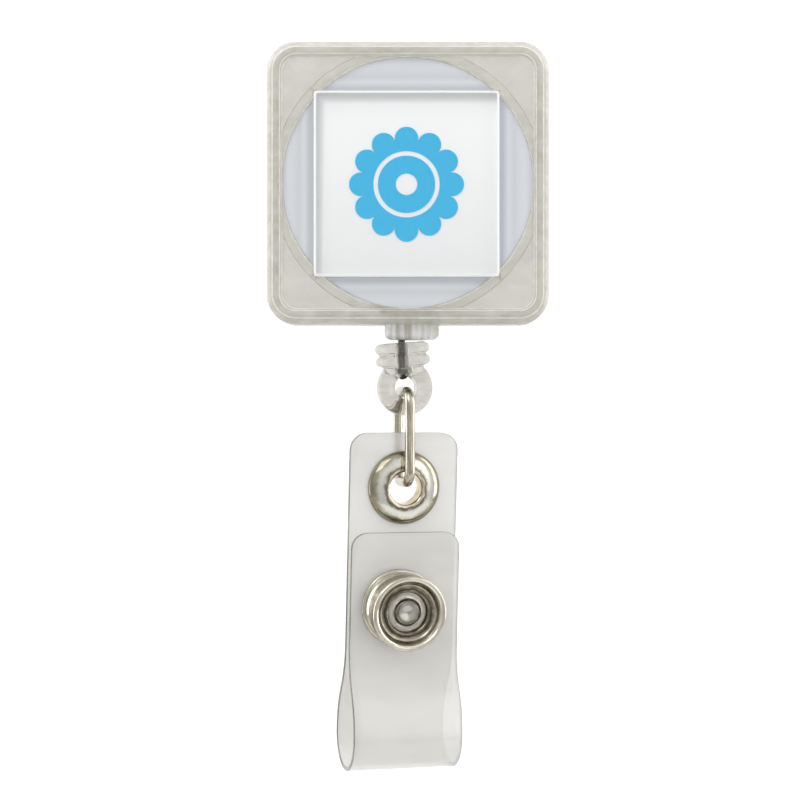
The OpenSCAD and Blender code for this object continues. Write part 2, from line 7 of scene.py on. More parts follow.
import bmesh
import bpy
import numpy as np
from bpy.props import FloatProperty, IntProperty, PointerProperty
from mathutils import Matrix, Vector
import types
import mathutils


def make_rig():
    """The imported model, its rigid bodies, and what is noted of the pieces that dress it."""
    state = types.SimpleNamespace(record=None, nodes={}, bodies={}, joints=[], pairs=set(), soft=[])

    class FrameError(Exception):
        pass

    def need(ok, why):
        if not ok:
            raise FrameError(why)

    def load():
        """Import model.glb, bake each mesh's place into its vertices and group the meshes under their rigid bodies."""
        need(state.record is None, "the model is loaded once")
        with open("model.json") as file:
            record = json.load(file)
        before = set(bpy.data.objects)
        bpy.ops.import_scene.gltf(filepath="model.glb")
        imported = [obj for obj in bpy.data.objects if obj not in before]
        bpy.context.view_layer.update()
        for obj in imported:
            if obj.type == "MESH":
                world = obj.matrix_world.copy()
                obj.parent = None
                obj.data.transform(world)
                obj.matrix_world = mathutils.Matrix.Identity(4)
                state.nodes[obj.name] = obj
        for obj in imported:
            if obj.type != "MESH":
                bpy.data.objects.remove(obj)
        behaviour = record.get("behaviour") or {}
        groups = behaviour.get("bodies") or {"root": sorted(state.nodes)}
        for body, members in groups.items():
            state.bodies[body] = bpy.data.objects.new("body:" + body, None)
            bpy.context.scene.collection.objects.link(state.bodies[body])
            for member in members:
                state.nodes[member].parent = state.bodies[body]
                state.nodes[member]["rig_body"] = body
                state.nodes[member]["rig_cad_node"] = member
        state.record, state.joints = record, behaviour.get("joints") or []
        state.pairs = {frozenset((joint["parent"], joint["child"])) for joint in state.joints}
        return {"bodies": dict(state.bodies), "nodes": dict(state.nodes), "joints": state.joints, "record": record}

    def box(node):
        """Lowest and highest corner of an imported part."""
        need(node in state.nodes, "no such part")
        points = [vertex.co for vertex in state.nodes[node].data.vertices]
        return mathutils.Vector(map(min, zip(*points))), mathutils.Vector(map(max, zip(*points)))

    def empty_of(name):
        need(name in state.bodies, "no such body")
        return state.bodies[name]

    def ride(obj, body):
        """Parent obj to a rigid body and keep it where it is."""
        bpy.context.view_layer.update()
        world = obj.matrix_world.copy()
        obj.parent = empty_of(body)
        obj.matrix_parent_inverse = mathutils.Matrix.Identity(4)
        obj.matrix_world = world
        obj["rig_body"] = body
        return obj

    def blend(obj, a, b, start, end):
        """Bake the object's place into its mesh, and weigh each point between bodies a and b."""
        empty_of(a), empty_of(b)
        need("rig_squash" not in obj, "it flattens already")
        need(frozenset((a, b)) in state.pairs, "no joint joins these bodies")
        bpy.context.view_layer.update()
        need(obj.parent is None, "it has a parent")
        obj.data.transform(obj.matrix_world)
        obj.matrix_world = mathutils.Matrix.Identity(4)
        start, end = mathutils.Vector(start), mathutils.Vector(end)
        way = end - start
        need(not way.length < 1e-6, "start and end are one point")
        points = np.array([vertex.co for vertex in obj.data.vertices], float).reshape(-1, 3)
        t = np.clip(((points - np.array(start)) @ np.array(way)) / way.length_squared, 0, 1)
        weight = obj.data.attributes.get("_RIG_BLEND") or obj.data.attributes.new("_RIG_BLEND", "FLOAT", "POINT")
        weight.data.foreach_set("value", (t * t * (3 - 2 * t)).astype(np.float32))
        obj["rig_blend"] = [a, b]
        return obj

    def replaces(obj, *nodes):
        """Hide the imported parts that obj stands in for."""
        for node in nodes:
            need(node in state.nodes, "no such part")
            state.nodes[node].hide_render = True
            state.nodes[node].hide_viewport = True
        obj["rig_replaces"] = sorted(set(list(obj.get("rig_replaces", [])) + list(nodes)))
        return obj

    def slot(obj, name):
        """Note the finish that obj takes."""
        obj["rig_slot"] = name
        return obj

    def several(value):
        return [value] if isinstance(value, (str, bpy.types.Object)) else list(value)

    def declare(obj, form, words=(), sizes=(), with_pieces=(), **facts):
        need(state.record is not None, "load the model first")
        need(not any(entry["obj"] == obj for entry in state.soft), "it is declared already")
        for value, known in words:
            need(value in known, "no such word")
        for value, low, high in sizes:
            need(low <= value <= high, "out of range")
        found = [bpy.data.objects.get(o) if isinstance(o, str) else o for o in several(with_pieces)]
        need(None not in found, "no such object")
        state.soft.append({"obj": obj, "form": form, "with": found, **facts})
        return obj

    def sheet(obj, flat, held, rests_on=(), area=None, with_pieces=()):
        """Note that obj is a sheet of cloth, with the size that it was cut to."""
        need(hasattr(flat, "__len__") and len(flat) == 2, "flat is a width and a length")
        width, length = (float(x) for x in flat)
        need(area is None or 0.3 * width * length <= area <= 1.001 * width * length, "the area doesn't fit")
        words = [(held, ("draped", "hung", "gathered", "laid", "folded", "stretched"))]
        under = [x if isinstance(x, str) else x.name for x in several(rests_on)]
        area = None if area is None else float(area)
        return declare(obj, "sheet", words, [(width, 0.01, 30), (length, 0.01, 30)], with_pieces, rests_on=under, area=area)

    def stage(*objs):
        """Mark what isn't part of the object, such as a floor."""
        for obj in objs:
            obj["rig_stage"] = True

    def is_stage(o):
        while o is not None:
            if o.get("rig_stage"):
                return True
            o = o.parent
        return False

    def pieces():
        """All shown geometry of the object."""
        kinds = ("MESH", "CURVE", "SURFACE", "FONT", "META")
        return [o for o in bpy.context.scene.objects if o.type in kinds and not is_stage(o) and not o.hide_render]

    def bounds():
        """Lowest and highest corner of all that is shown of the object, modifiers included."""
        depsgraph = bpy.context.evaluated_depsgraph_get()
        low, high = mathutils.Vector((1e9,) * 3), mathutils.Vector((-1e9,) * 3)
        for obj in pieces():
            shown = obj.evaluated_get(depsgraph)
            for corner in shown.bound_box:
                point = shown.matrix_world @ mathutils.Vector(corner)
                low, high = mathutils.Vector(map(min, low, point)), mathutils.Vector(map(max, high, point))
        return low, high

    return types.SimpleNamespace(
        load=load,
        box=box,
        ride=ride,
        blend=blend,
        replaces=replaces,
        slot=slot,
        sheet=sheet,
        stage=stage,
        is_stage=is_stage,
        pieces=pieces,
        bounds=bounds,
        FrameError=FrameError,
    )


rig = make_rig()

bl_info = {
    "name": "Badge Reel",
    "version": (1, 0, 0),
    "blender": (4, 5, 0),
    "location": "View3D > Sidebar > Badge Reel",
    "description": "Builds a square retractable badge reel with its clip, cord, link and snap strap",
    "category": "Add Mesh",
}

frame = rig.load()
CAD_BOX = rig.bounds()
JOINTS = {joint["name"]: joint for joint in frame["joints"]}

MM = 0.001
# The case's centre on its parting line, which is where the drum turns
CASE_AT = Vector(JOINTS["drum_spin"]["pos_m"])
ACROSS = Vector(JOINTS["flap_open"]["axis"])
YAW = math.atan2(ACROSS.y, ACROSS.x)
TILT = math.radians(5)
SCALE = Matrix.Scale(MM, 4)
# Sketch frame of the case: x right, y up and z forward of the parting line, in millimetres
CASE = Matrix.Translation(CASE_AT) @ Matrix.Rotation(math.radians(90), 4, "X") @ SCALE
# The part's own axes in millimetres, from the case's centre
FROM_CASE = Matrix.Translation(CASE_AT) @ SCALE
LINK_AT = Vector(JOINTS["link_swing"]["pos_m"]) - CASE_AT
# Link frame: y across the loop and z up, from the height of the case's centre
LINK = Matrix.Translation(CASE_AT + Vector((LINK_AT.x, 0, 0))) @ Matrix.Rotation(YAW, 4, "Z") @ SCALE
LINK_TOP = (JOINTS["link_swing"]["pos_m"][2] - CASE_AT.z) / MM
LINK_LOW = (JOINTS["strap_swing"]["pos_m"][2] - CASE_AT.z) / MM
GROMMET_AT = Vector((-0.55, 0, -34.2)) * MM
# Strap frame: x across the strap, y towards its back, z up, from the grommet's centre
STRAP = (
    Matrix.Translation(CASE_AT + GROMMET_AT)
    @ Matrix.Rotation(YAW, 4, "Z")
    @ Matrix.Rotation(TILT, 4, "X")
    @ SCALE
)
FOLD = STRAP.inverted() @ Vector(JOINTS["flap_open"]["pos_m"])
SNAP_AT = (-0.7, 0, -13.4)
GROMMET_R = 4.2
SNAP_R = 4.35
# Heights in the case's frame: the disc's face, the card's face, the print's face and both ends of the resin
DISC_FACE, CARD_FACE, INK_FACE, RESIN_FROM, RESIN_TOP = 3.9, 4.1, 4.16, 4.18, 5.38


def length(name, description, default, low, high):
    """A length property, given here in millimetres and kept in metres."""
    return FloatProperty(
        name=name, description=description, default=default * MM, min=low * MM, max=high * MM,
        unit="LENGTH", subtype="DISTANCE", precision=5,
    )


def number(name, description, default, low, high):
    """A count."""
    return IntProperty(
        name=name, description=description, default=default, min=low, max=high, subtype="UNSIGNED"
    )


class CaseSettings(bpy.types.PropertyGroup):
    """Sizes of the case and its face"""

    half: length("Half width", "Half the case's width", 15.875, 15, 17)
    corner: length("Corner radius", "Radius of the case's corners", 3.4, 2, 5)
    panel: length("Panel half width", "Half the sunk panel's width", 14.2, 13.5, 15)
    ring: length("Ring radius", "Outer radius of the ring around the disc", 15.2, 14.5, 16)
    disc: length("Disc radius", "Radius of the round face disc", 14.04, 12, 14.5)
    label: length("Label width", "Side of the square label", 20.7, 16, 21)


class StrapSettings(bpy.types.PropertyGroup):
    """Sizes of the vinyl strap"""

    width: length("Width", "Width of the strap", 12.7, 8, 16)
    thickness: length("Thickness", "Thickness of the vinyl", 0.5, 0.3, 0.6)
    gap: length("Layer gap", "Between the middles of the layers at the snap", 1.6, 1, 3)
    loop: length("Loop half depth", "Half the depth of the badge's loop", 3.8, 2, 5)


class ReelSettings(bpy.types.PropertyGroup):
    """Sizes of the cord and the parts on it"""

    cord: length("Cord diameter", "Diameter of the nylon cord", 0.8, 0.5, 1)
    wire: length("Link wire", "Diameter of the link's wire", 1.18, 0.9, 1.4)
    rows: number("Cord rows", "Rows of cord side by side on the drum", 3, 1, 4)
    turns: number("Turns in a row", "Turns of cord on top of each other", 4, 1, 6)
    ridges: number("Pad ridges", "Finger ridges on the clip's pad", 5, 1, 8)


def in_mm(settings):
    """The settings' values, with the lengths in millimetres."""
    values = {name: getattr(settings, name) for name in type(settings).__annotations__}
    return SimpleNamespace(**{k: round(v / MM, 4) if isinstance(v, float) else v for k, v in values.items()})


# ---------------------------------------------------------------- materials


def colour(code):
    """sRGB hex to a linear RGBA colour."""
    parts = [int(code[i : i + 2], 16) / 255 for i in (1, 3, 5)]
    return [c / 12.92 if c <= 0.04045 else ((c + 0.055) / 1.055) ** 2.4 for c in parts] + [1.0]


def add_node(tree, kind, links=None, **settings):
    """Adds a node, sets its inputs or properties by name and links its inputs."""
    node = tree.nodes.new(kind)
    for name, value in settings.items():
        if hasattr(node, name):
            setattr(node, name, value)
        else:
            node.inputs[name.replace("_", " ")].default_value = value
    for name, source in (links or {}).items():
        tree.links.new(source, node.inputs[name])
    return node


def calculate(tree, operation, *values):
    """A math node's result. Each value is a number or another node's output."""
    node = add_node(tree, "ShaderNodeMath", operation=operation)
    for index, value in enumerate(values):
        if isinstance(value, bpy.types.NodeSocket):
            tree.links.new(value, node.inputs[index])
        else:
            node.inputs[index].default_value = value
    return node.outputs[0]


def material(name, **surface):
    """A material with a principled surface, and the nodes that its patterns start from."""
    made = bpy.data.materials.new(name)
    made.use_nodes = True
    tree = made.node_tree
    tree.nodes.clear()
    shader = tree.nodes.new("ShaderNodeBsdfPrincipled")
    for key, value in surface.items():
        shader.inputs[key.replace("_", " ")].default_value = value
    out = tree.nodes.new("ShaderNodeOutputMaterial")
    tree.links.new(shader.outputs[0], out.inputs["Surface"])
    place = add_node(tree, "ShaderNodeTexCoord").outputs["Object"]
    return made, tree, shader, place


def noise(tree, place, size_mm, detail=3.0, stretch=(1, 1, 1)):
    """Noise with features of about size_mm across."""
    turned = add_node(tree, "ShaderNodeMapping", {"Vector": place})
    turned.inputs["Scale"].default_value = [s / (size_mm * MM) for s in stretch]
    return add_node(tree, "ShaderNodeTexNoise", {"Vector": turned.outputs[0]}, Scale=1.0, Detail=detail)


def vary(tree, shader, socket, source, low, high):
    """Drives a number socket between low and high by a pattern."""
    spread = add_node(
        tree, "ShaderNodeMapRange", {"Value": source}, From_Min=0.3, From_Max=0.7, To_Min=low, To_Max=high
    )
    tree.links.new(spread.outputs[0], shader.inputs[socket])


def tint(tree, shader, source, dark, light, low=0.3, high=0.7):
    """Drives the base colour between two colours by a pattern."""
    ramp = add_node(tree, "ShaderNodeValToRGB", {"Fac": source})
    ramp.color_ramp.elements[0].position = low
    ramp.color_ramp.elements[0].color = dark
    ramp.color_ramp.elements[1].position = high
    ramp.color_ramp.elements[1].color = light
    tree.links.new(ramp.outputs[0], shader.inputs["Base Color"])


def bump(tree, shader, source, height_mm, strength=1.0):
    """Raises the surface by a pattern."""
    raised = add_node(tree, "ShaderNodeBump", {"Height": source}, Strength=strength, Distance=height_mm * MM)
    tree.links.new(raised.outputs[0], shader.inputs["Normal"])


def styrene(name, dark, light, cloud_mm, clear):
    """Moulded styrene with a smoky tint: it lets some light through, and flow marks cloud it."""
    made, tree, shader, place = material(name, Roughness=0.22, IOR=1.55, Alpha=clear)
    clouds = noise(tree, place, cloud_mm, 4.0, (1, 1, 1.6)).outputs[0]
    tint(tree, shader, clouds, colour(dark), colour(light))
    bump(tree, shader, noise(tree, place, 0.6, 2.0).outputs[0], 0.02, 0.25)
    return made


def frosted_styrene():
    """The walls and the rounded rim."""
    return styrene("frosted_styrene", "#B9B5A6", "#D3D0C5", 2.0, 0.5)


def frosted_corner():
    """The flat corners, which are thin and clearer."""
    return styrene("frosted_styrene_thin", "#E3E1D8", "#F2F0EA", 3.0, 0.42)


def frosted_ring():
    """The ring's thick wall, which is warmer and darker."""
    return styrene("frosted_styrene_thick", "#CFCCC0", "#E0DDD3", 2.2, 0.58)


def frosted_outlet():
    """The outlet's thick wall, streaked down its length where the plastic flowed round the bore."""
    made, tree, shader, place = material("frosted_styrene_outlet", Roughness=0.15, IOR=1.55, Alpha=0.6)
    streaks = noise(tree, place, 0.9, 3.0, (1.6, 0.3, 0.12)).outputs[0]
    tint(tree, shader, streaks, colour("#CCC8BA"), colour("#FFFFFF"), 0.4, 0.58)
    bump(tree, shader, streaks, 0.05, 0.3)
    return made


def frosted_edge():
    """Painted highlight: lighter, less clear styrene for the ring's thin inner edge and the other bright lines of the
    front shell.
    """
    return styrene("frosted_styrene_edge", "#DCDAD2", "#FAF9F5", 0.9, 0.65)


def edge_distance(tree, place, half, centre):
    """Distance in millimetres outside a square drawn on the face, less than 0 inside it."""
    apart = add_node(tree, "ShaderNodeSeparateXYZ", {"Vector": place}).outputs
    reach = []
    for axis, middle in (("X", centre.x), ("Z", centre.z)):
        side = calculate(tree, "ABSOLUTE", calculate(tree, "SUBTRACT", apart[axis], middle))
        reach.append(calculate(tree, "SUBTRACT", side, half * MM))
    return calculate(tree, "MULTIPLY", calculate(tree, "MAXIMUM", *reach), 1 / MM)


def ramp_between(tree, shader, source, stops, first, last):
    """Drives the base colour by a value from first to last, through evenly spaced colours."""
    spread = add_node(tree, "ShaderNodeMapRange", {"Value": source}, From_Min=first, From_Max=last)
    ramp = add_node(tree, "ShaderNodeValToRGB", {"Fac": spread.outputs[0]})
    ends = ramp.color_ramp.elements
    while len(ends) < len(stops):
        ends.new(0.5)
    for i, code in enumerate(stops):
        ends[i].position = i / (len(stops) - 1)
        ends[i].color = colour(code)
    tree.links.new(ramp.outputs[0], shader.inputs["Base Color"])


def pearl_styrene():
    """Cool pearl styrene with a satin face, with a painted shadow in soft bands round where the thick label stands on
    it.
    """
    made, tree, shader, place = material("pearl_styrene", Roughness=0.3, IOR=1.55)
    low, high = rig.box("label_card")
    outside = edge_distance(tree, place, (high.x - low.x) / 2 / MM, (low + high) / 2)
    # Painted shadow of the label: darkest just outside its edge, in soft bands further out
    stops = ["#CED2D7", "#C6CAD0", "#DDE0E4", "#D1D5D9", "#DADDE1", "#DFE2E6", "#DADDE1"]
    ramp_between(tree, shader, outside, stops, -0.2, 3.6)
    bump(tree, shader, noise(tree, place, 0.3, 2.0).outputs[0], 0.01, 0.15)
    return made


def printed_film():
    """White printed film: matt, with painted shade under the resin's top and left edges and a painted light gradient
    that leaves it paler at the top.
    """
    made, tree, shader, place = material("printed_film", Roughness=0.6, IOR=1.45)
    low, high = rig.box("label_card")
    apart = add_node(tree, "ShaderNodeSeparateXYZ", {"Vector": place})
    # Painted shade inside the left and top edges, and a painted light gradient from the bottom up
    edges = (
        ("X", low.x + 0.4 * MM, low.x + 1.5 * MM, 0.0),
        ("Z", high.z - 0.4 * MM, high.z - 1.5 * MM, 0.0),
        ("Z", low.z - 6 * MM, high.z, 0.55),
    )
    shade = None
    for axis, start, end, least in edges:
        near = add_node(
            tree, "ShaderNodeMapRange", {"Value": apart.outputs[axis]},
            From_Min=start, From_Max=end, To_Min=least, To_Max=1.0,
        )
        near.interpolation_type = "SMOOTHSTEP"
        shade = calculate(tree, "MINIMUM", shade, near.outputs[0]) if shade else near.outputs[0]
    tint(tree, shader, shade, colour("#D3D5D6"), colour("#FBFCFC"), 0.0, 1.0)
    bump(tree, shader, noise(tree, place, 0.15, 2.0).outputs[0], 0.004, 0.2)
    return made


def printed_ink():
    """Cyan ink printed on the film: matt, with a barely uneven lay."""
    made, tree, shader, place = material("printed_ink", Roughness=0.55, IOR=1.45)
    lay = noise(tree, place, 0.4, 3.0).outputs[0]
    tint(tree, shader, lay, colour("#00B2E4"), colour("#0AB8E8"))
    return made


def poured_resin():
    """Clear poured resin: only its gloss and a trace of haze show."""
    made, tree, shader, place = material(
        "poured_resin", Base_Color=colour("#FFFFFF"), Roughness=0.04, IOR=1.5, Alpha=0.03,
    )
    bump(tree, shader, noise(tree, place, 4.0, 2.0).outputs[0], 0.02, 0.1)
    return made


def resin_edge():
    """The resin's cut edge, with a painted highlight: near-white and less clear, so it shows as a bright line."""
    made, tree, shader, place = material("resin_edge", Roughness=0.12, IOR=1.5, Alpha=0.75)
    tint(tree, shader, noise(tree, place, 1.2, 2.0).outputs[0], colour("#FAFBFB"), colour("#FFFFFF"))
    return made


def clear_acrylic():
    """Crystal-clear moulded acrylic: bends what is behind it, with faint flow lines."""
    made, tree, shader, place = material(
        "clear_acrylic", Roughness=0.05, IOR=1.22, Transmission_Weight=0.88,
    )
    flow = noise(tree, place, 1.4, 3.0, (1, 1, 2)).outputs[0]
    tint(tree, shader, flow, colour("#B6B4AD"), colour("#D0CEC8"))
    bump(tree, shader, noise(tree, place, 1.1, 3.0, (1, 1, 3)).outputs[0], 0.08, 0.4)
    return made


def clear_vinyl():
    """Calendered clear vinyl: a grey film with soft gloss, faint ripples and a few scuffs."""
    made, tree, shader, place = material("clear_vinyl", Roughness=0.12, IOR=1.5, Alpha=0.62)
    ripple = noise(tree, place, 9.0, 2.0, (1, 1, 2.5)).outputs[0]
    tint(tree, shader, ripple, colour("#E1E0DB"), colour("#EAE9E5"))
    vary(tree, shader, "Roughness", noise(tree, place, 1.2, 5.0, (3, 1, 1)).outputs[0], 0.08, 0.2)
    bump(tree, shader, ripple, 0.3, 0.25)
    return made


def vinyl_edge():
    """The vinyl's cut edge: light runs along the sheet and leaves it darker and greener here."""
    made, tree, shader, place = material("vinyl_edge", Roughness=0.25, IOR=1.5, Alpha=0.92)
    tint(tree, shader, noise(tree, place, 5.0, 2.0).outputs[0], colour("#4C4940"), colour("#8E8B81"))
    return made


def nickel_plate():
    """Bright nickel on brass: warm grey mirror with polishing haze and fine scratches."""
    made, tree, shader, place = material("nickel_plate", Metallic=1.0, Roughness=0.16)
    haze = noise(tree, place, 3.2, 3.0).outputs[0]
    tint(tree, shader, haze, colour("#B7B1A4"), colour("#D9D5CA"))
    vary(tree, shader, "Roughness", noise(tree, place, 0.35, 4.0, (1, 5, 1)).outputs[0], 0.1, 0.24)
    bump(tree, shader, noise(tree, place, 1.6, 2.0).outputs[0], 0.03, 0.25)
    return made


def worn_nickel(name, at, stops, last):
    """Nickel plate, with painted highlights on its crests and painted shade in its grooves, in rings from the part's
    axis out.
    """
    made, tree, shader, place = material(name, Metallic=1.0, Roughness=0.14)
    axis = (STRAP.to_3x3() @ Vector((0, 1, 0))).normalized()
    moved = add_node(tree, "ShaderNodeVectorMath", {0: place}, operation="SUBTRACT")
    moved.inputs[1].default_value = STRAP @ Vector(at)
    across = add_node(tree, "ShaderNodeVectorMath", {0: moved.outputs[0]}, operation="CROSS_PRODUCT")
    across.inputs[1].default_value = axis
    reach = add_node(tree, "ShaderNodeVectorMath", {0: across.outputs[0]}, operation="LENGTH")
    uneven = noise(tree, place, 0.9, 4.0).outputs[0]
    shift = add_node(
        tree, "ShaderNodeMapRange", {"Value": uneven},
        From_Min=0.25, From_Max=0.75, To_Min=-0.2 * MM, To_Max=0.2 * MM,
    )
    # The rings of painted highlight and shade, their edges shifted a little by noise
    painted_band_reach = calculate(tree, "ADD", reach.outputs["Value"], shift.outputs[0])
    ramp_between(tree, shader, painted_band_reach, stops, 0, last * MM)
    vary(tree, shader, "Roughness", uneven, 0.1, 0.22)
    bump(tree, shader, noise(tree, place, 1.1, 2.0).outputs[0], 0.05, 0.35)
    return made


def grommet_nickel():
    """The grommet: a dull, darker outside band, a painted highlight on the cone, and a brassy line with painted shade
    round the hole.
    """
    # From the axis out: brassy barrel, a painted dark line at the hole's lip, a painted highlight on the cone and a
    # darker outer band
    stops = ["#86765A"] * 6 + ["#A08C66", "#E2DCCC", "#6F6552", "#E4E1D5", "#F0EDE3", "#E0DDD0", "#ABA694"]
    stops += ["#8F8974", "#A29C8A"]
    return worn_nickel("nickel_plate_grommet", (0, 0, 0), stops, GROMMET_R)


def snap_nickel():
    """The snap: a painted highlight on the rim, painted shade in the grooves and a duller middle."""
    # From the axis out: a grey middle, painted dark and bright rings, painted shade on the inner wall and a painted
    # highlight on the rim
    stops = ["#A9A59C", "#C8C5BE", "#BAB7B0", "#6E685C", "#D9D6CD", "#989182", "#504939", "#AAA494"]
    stops += ["#E4E0D4", "#CBC5B6", "#B3AC9C"]
    return worn_nickel("nickel_plate_snap", SNAP_AT, stops, SNAP_R + 0.15)


def nickel_wire():
    """Drawn wire with dull nickel: fine lines along the wire's length."""
    made, tree, shader, place = material("nickel_wire", Metallic=1.0, Roughness=0.24)
    drawn = noise(tree, place, 0.22, 4.0, (1, 1, 0.08)).outputs[0]
    tint(tree, shader, drawn, colour("#958D7E"), colour("#CFC8BB"))
    vary(tree, shader, "Roughness", drawn, 0.18, 0.32)
    bump(tree, shader, drawn, 0.01, 0.4)
    return made


def plated_steel():
    """Nickel-plated sheet steel, brushed along the clip before plating."""
    made, tree, shader, place = material("plated_steel", Metallic=1.0, Roughness=0.26)
    brushed = noise(tree, place, 0.25, 4.0, (1, 1, 0.05)).outputs[0]
    tint(tree, shader, brushed, colour("#B9B7B2"), colour("#C4C2BE"))
    vary(tree, shader, "Roughness", brushed, 0.24, 0.32)
    bump(tree, shader, brushed, 0.005, 0.12)
    return made


def spring_steel():
    """Hard-drawn spring steel with a thin grey oxide."""
    made, tree, shader, place = material("spring_steel", Metallic=1.0, Roughness=0.3)
    oxide = noise(tree, place, 0.8, 4.0).outputs[0]
    tint(tree, shader, oxide, colour("#6E7073"), colour("#97999C"))
    vary(tree, shader, "Roughness", oxide, 0.24, 0.38)
    return made


def braided_nylon():
    """Dark grey braided nylon: two sets of strands cross on the slant, 0.35 mm apart."""
    made, tree, shader, place = material("braided_nylon", Roughness=0.55, IOR=1.53, Sheen_Weight=0.3)
    strands = None
    for way in (1, -1):
        turned = add_node(tree, "ShaderNodeMapping", {"Vector": place})
        turned.inputs["Rotation"].default_value = (0, math.radians(35) * way, 0)
        turned.inputs["Scale"].default_value = [1 / (0.35 * MM)] * 3
        wave = add_node(tree, "ShaderNodeTexWave", {"Vector": turned.outputs[0]}, Scale=0.32, Distortion=0.3)
        crests = wave.outputs["Fac"]
        strands = calculate(tree, "MULTIPLY", strands, crests) if strands else crests
    tint(tree, shader, strands, colour("#4A5152"), colour("#7D8585"), 0.05, 0.7)
    bump(tree, shader, strands, 0.05, 0.6)
    return made


def melted_nylon():
    """The cord's end below the knot: black and glossy."""
    made, tree, shader, place = material("melted_nylon", Roughness=0.2, IOR=1.53)
    tint(tree, shader, noise(tree, place, 0.5, 2.0).outputs[0], colour("#15130F"), colour("#2B2822"))
    return made


def white_acetal():
    """Moulded white acetal: waxy, with a soft satin face."""
    made, tree, shader, place = material(
        "white_acetal", Roughness=0.4, IOR=1.48, Subsurface_Weight=0.2, Subsurface_Scale=0.001,
    )
    tint(tree, shader, noise(tree, place, 3.0, 3.0).outputs[0], colour("#E4E4E0"), colour("#F0F0EC"))
    bump(tree, shader, noise(tree, place, 0.4, 2.0).outputs[0], 0.01, 0.2)
    return made


def studio_paper():
    """Seamless white studio paper: matt, with the faintest tooth."""
    made, tree, shader, place = material("studio_paper", Roughness=0.9, Specular_IOR_Level=0.1)
    tint(tree, shader, noise(tree, place, 8.0, 3.0).outputs[0], colour("#FBFBFB"), colour("#FFFFFF"))
    return made


MADE = {}


def finish(maker):
    """Each material is made once."""
    if maker.__name__ not in MADE:
        MADE[maker.__name__] = maker()
    return MADE[maker.__name__]


# ---------------------------------------------------------------- mesh tools


def new_object(name, mesh):
    """Puts a mesh, a light or a camera into the scene."""
    obj = bpy.data.objects.new(name, mesh)
    bpy.context.scene.collection.objects.link(obj)
    return obj


def object_from(bm, name):
    """Puts a finished bmesh into the scene."""
    mesh = bpy.data.meshes.new(name)
    bm.to_mesh(mesh)
    bm.free()
    return new_object(name, mesh)


def tidy(bm, sharp_degrees=38, merge=1e-4, recalculate=True):
    """Merges doubles, turns the faces outwards and marks creases, on a mesh still in millimetres."""
    bmesh.ops.remove_doubles(bm, verts=bm.verts, dist=merge)
    bmesh.ops.dissolve_degenerate(bm, edges=bm.edges, dist=merge)
    if recalculate:
        bmesh.ops.recalc_face_normals(bm, faces=bm.faces)
    for face in bm.faces:
        face.smooth = True
    for edge in bm.edges:
        sharp = len(edge.link_faces) == 2 and edge.calc_face_angle(0) > math.radians(sharp_degrees)
        edge.smooth = not sharp


def solid(name, parts, placed, sharp_degrees=38):
    """An object from (vertices, faces, material index) parts in millimetres."""
    bm = bmesh.new()
    for vertices, faces, index in parts:
        made = [bm.verts.new(v) for v in vertices]
        for face in faces:
            if len(set(face)) > 2:
                bm.faces.new([made[i] for i in face]).material_index = index
    tidy(bm, sharp_degrees)
    bm.transform(placed)
    return object_from(bm, name)


def skin(rings, closed_path=False, caps=True, bands=None):
    """Parts that join rings of equally many points. bands gives each gap's material index."""
    rings = [np.asarray(ring, float) for ring in rings]
    count = len(rings[0])
    vertices = [tuple(p) for ring in rings for p in ring]
    by_material = {}
    gaps = len(rings) if closed_path else len(rings) - 1
    for i in range(gaps):
        a, b = i * count, (i + 1) % len(rings) * count
        faces = by_material.setdefault(bands[i] if bands else 0, [])
        faces += [(a + k, a + (k + 1) % count, b + (k + 1) % count, b + k) for k in range(count)]
    if caps and not closed_path:
        by_material.setdefault(bands[0] if bands else 0, []).append(tuple(range(count - 1, -1, -1)))
        last = (len(rings) - 1) * count
        by_material.setdefault(bands[-1] if bands else 0, []).append(tuple(last + k for k in range(count)))
    return [(vertices, faces, index) for index, faces in by_material.items()]


def square_radius(angle, half, corner):
    """How far a rounded square reaches at an angle."""
    c, s = abs(math.cos(angle)), abs(math.sin(angle))
    flat = half - corner
    if half * min(c, s) / max(c, s) <= flat:
        return half / max(c, s)
    along = flat * (c + s)
    return along + math.sqrt(max(along * along - 2 * flat * flat + corner * corner, 0))


def arc(cx, cy, r, start, end, steps):
    """Points on an arc, in degrees."""
    angles = [math.radians(start + (end - start) * i / steps) for i in range(steps + 1)]
    return [(cx + r * math.cos(a), cy + r * math.sin(a)) for a in angles]


def lathe(profile, steps=128, centre=(0, 0, 0)):
    """Turns (radius, forward) points about the y axis, forward being -y."""
    angles = [2 * math.pi * k / steps for k in range(steps)]
    cx, cy, cz = centre
    rings = [[(cx + r * math.cos(a), cy - d, cz + r * math.sin(a)) for a in angles] for r, d in profile]
    hollow = profile[0][0] > 0 and profile[-1][0] > 0
    return skin(rings, closed_path=hollow, caps=False)


def finished_copy(name, node, bevel_mm):
    """A copy of a CAD node with its flat faces joined and its edges rounded."""
    crease_degrees = 32
    bm = bmesh.new()
    bm.from_mesh(frame["nodes"][node].data)
    bm.transform(Matrix.Scale(1 / MM, 4))
    tidy(bm, recalculate=False, merge=2e-4)
    bmesh.ops.dissolve_limit(bm, angle_limit=math.radians(0.6), verts=bm.verts, edges=bm.edges)
    tidy(bm, crease_degrees, recalculate=False)
    bm.transform(SCALE)
    obj = object_from(bm, name)
    rounding = obj.modifiers.new("rounded_edges", "BEVEL")
    rounding.width = bevel_mm * MM
    rounding.segments = 2
    rounding.limit_method = "ANGLE"
    rounding.angle_limit = math.radians(crease_degrees)
    rounding.harden_normals = False
    return applied(obj)


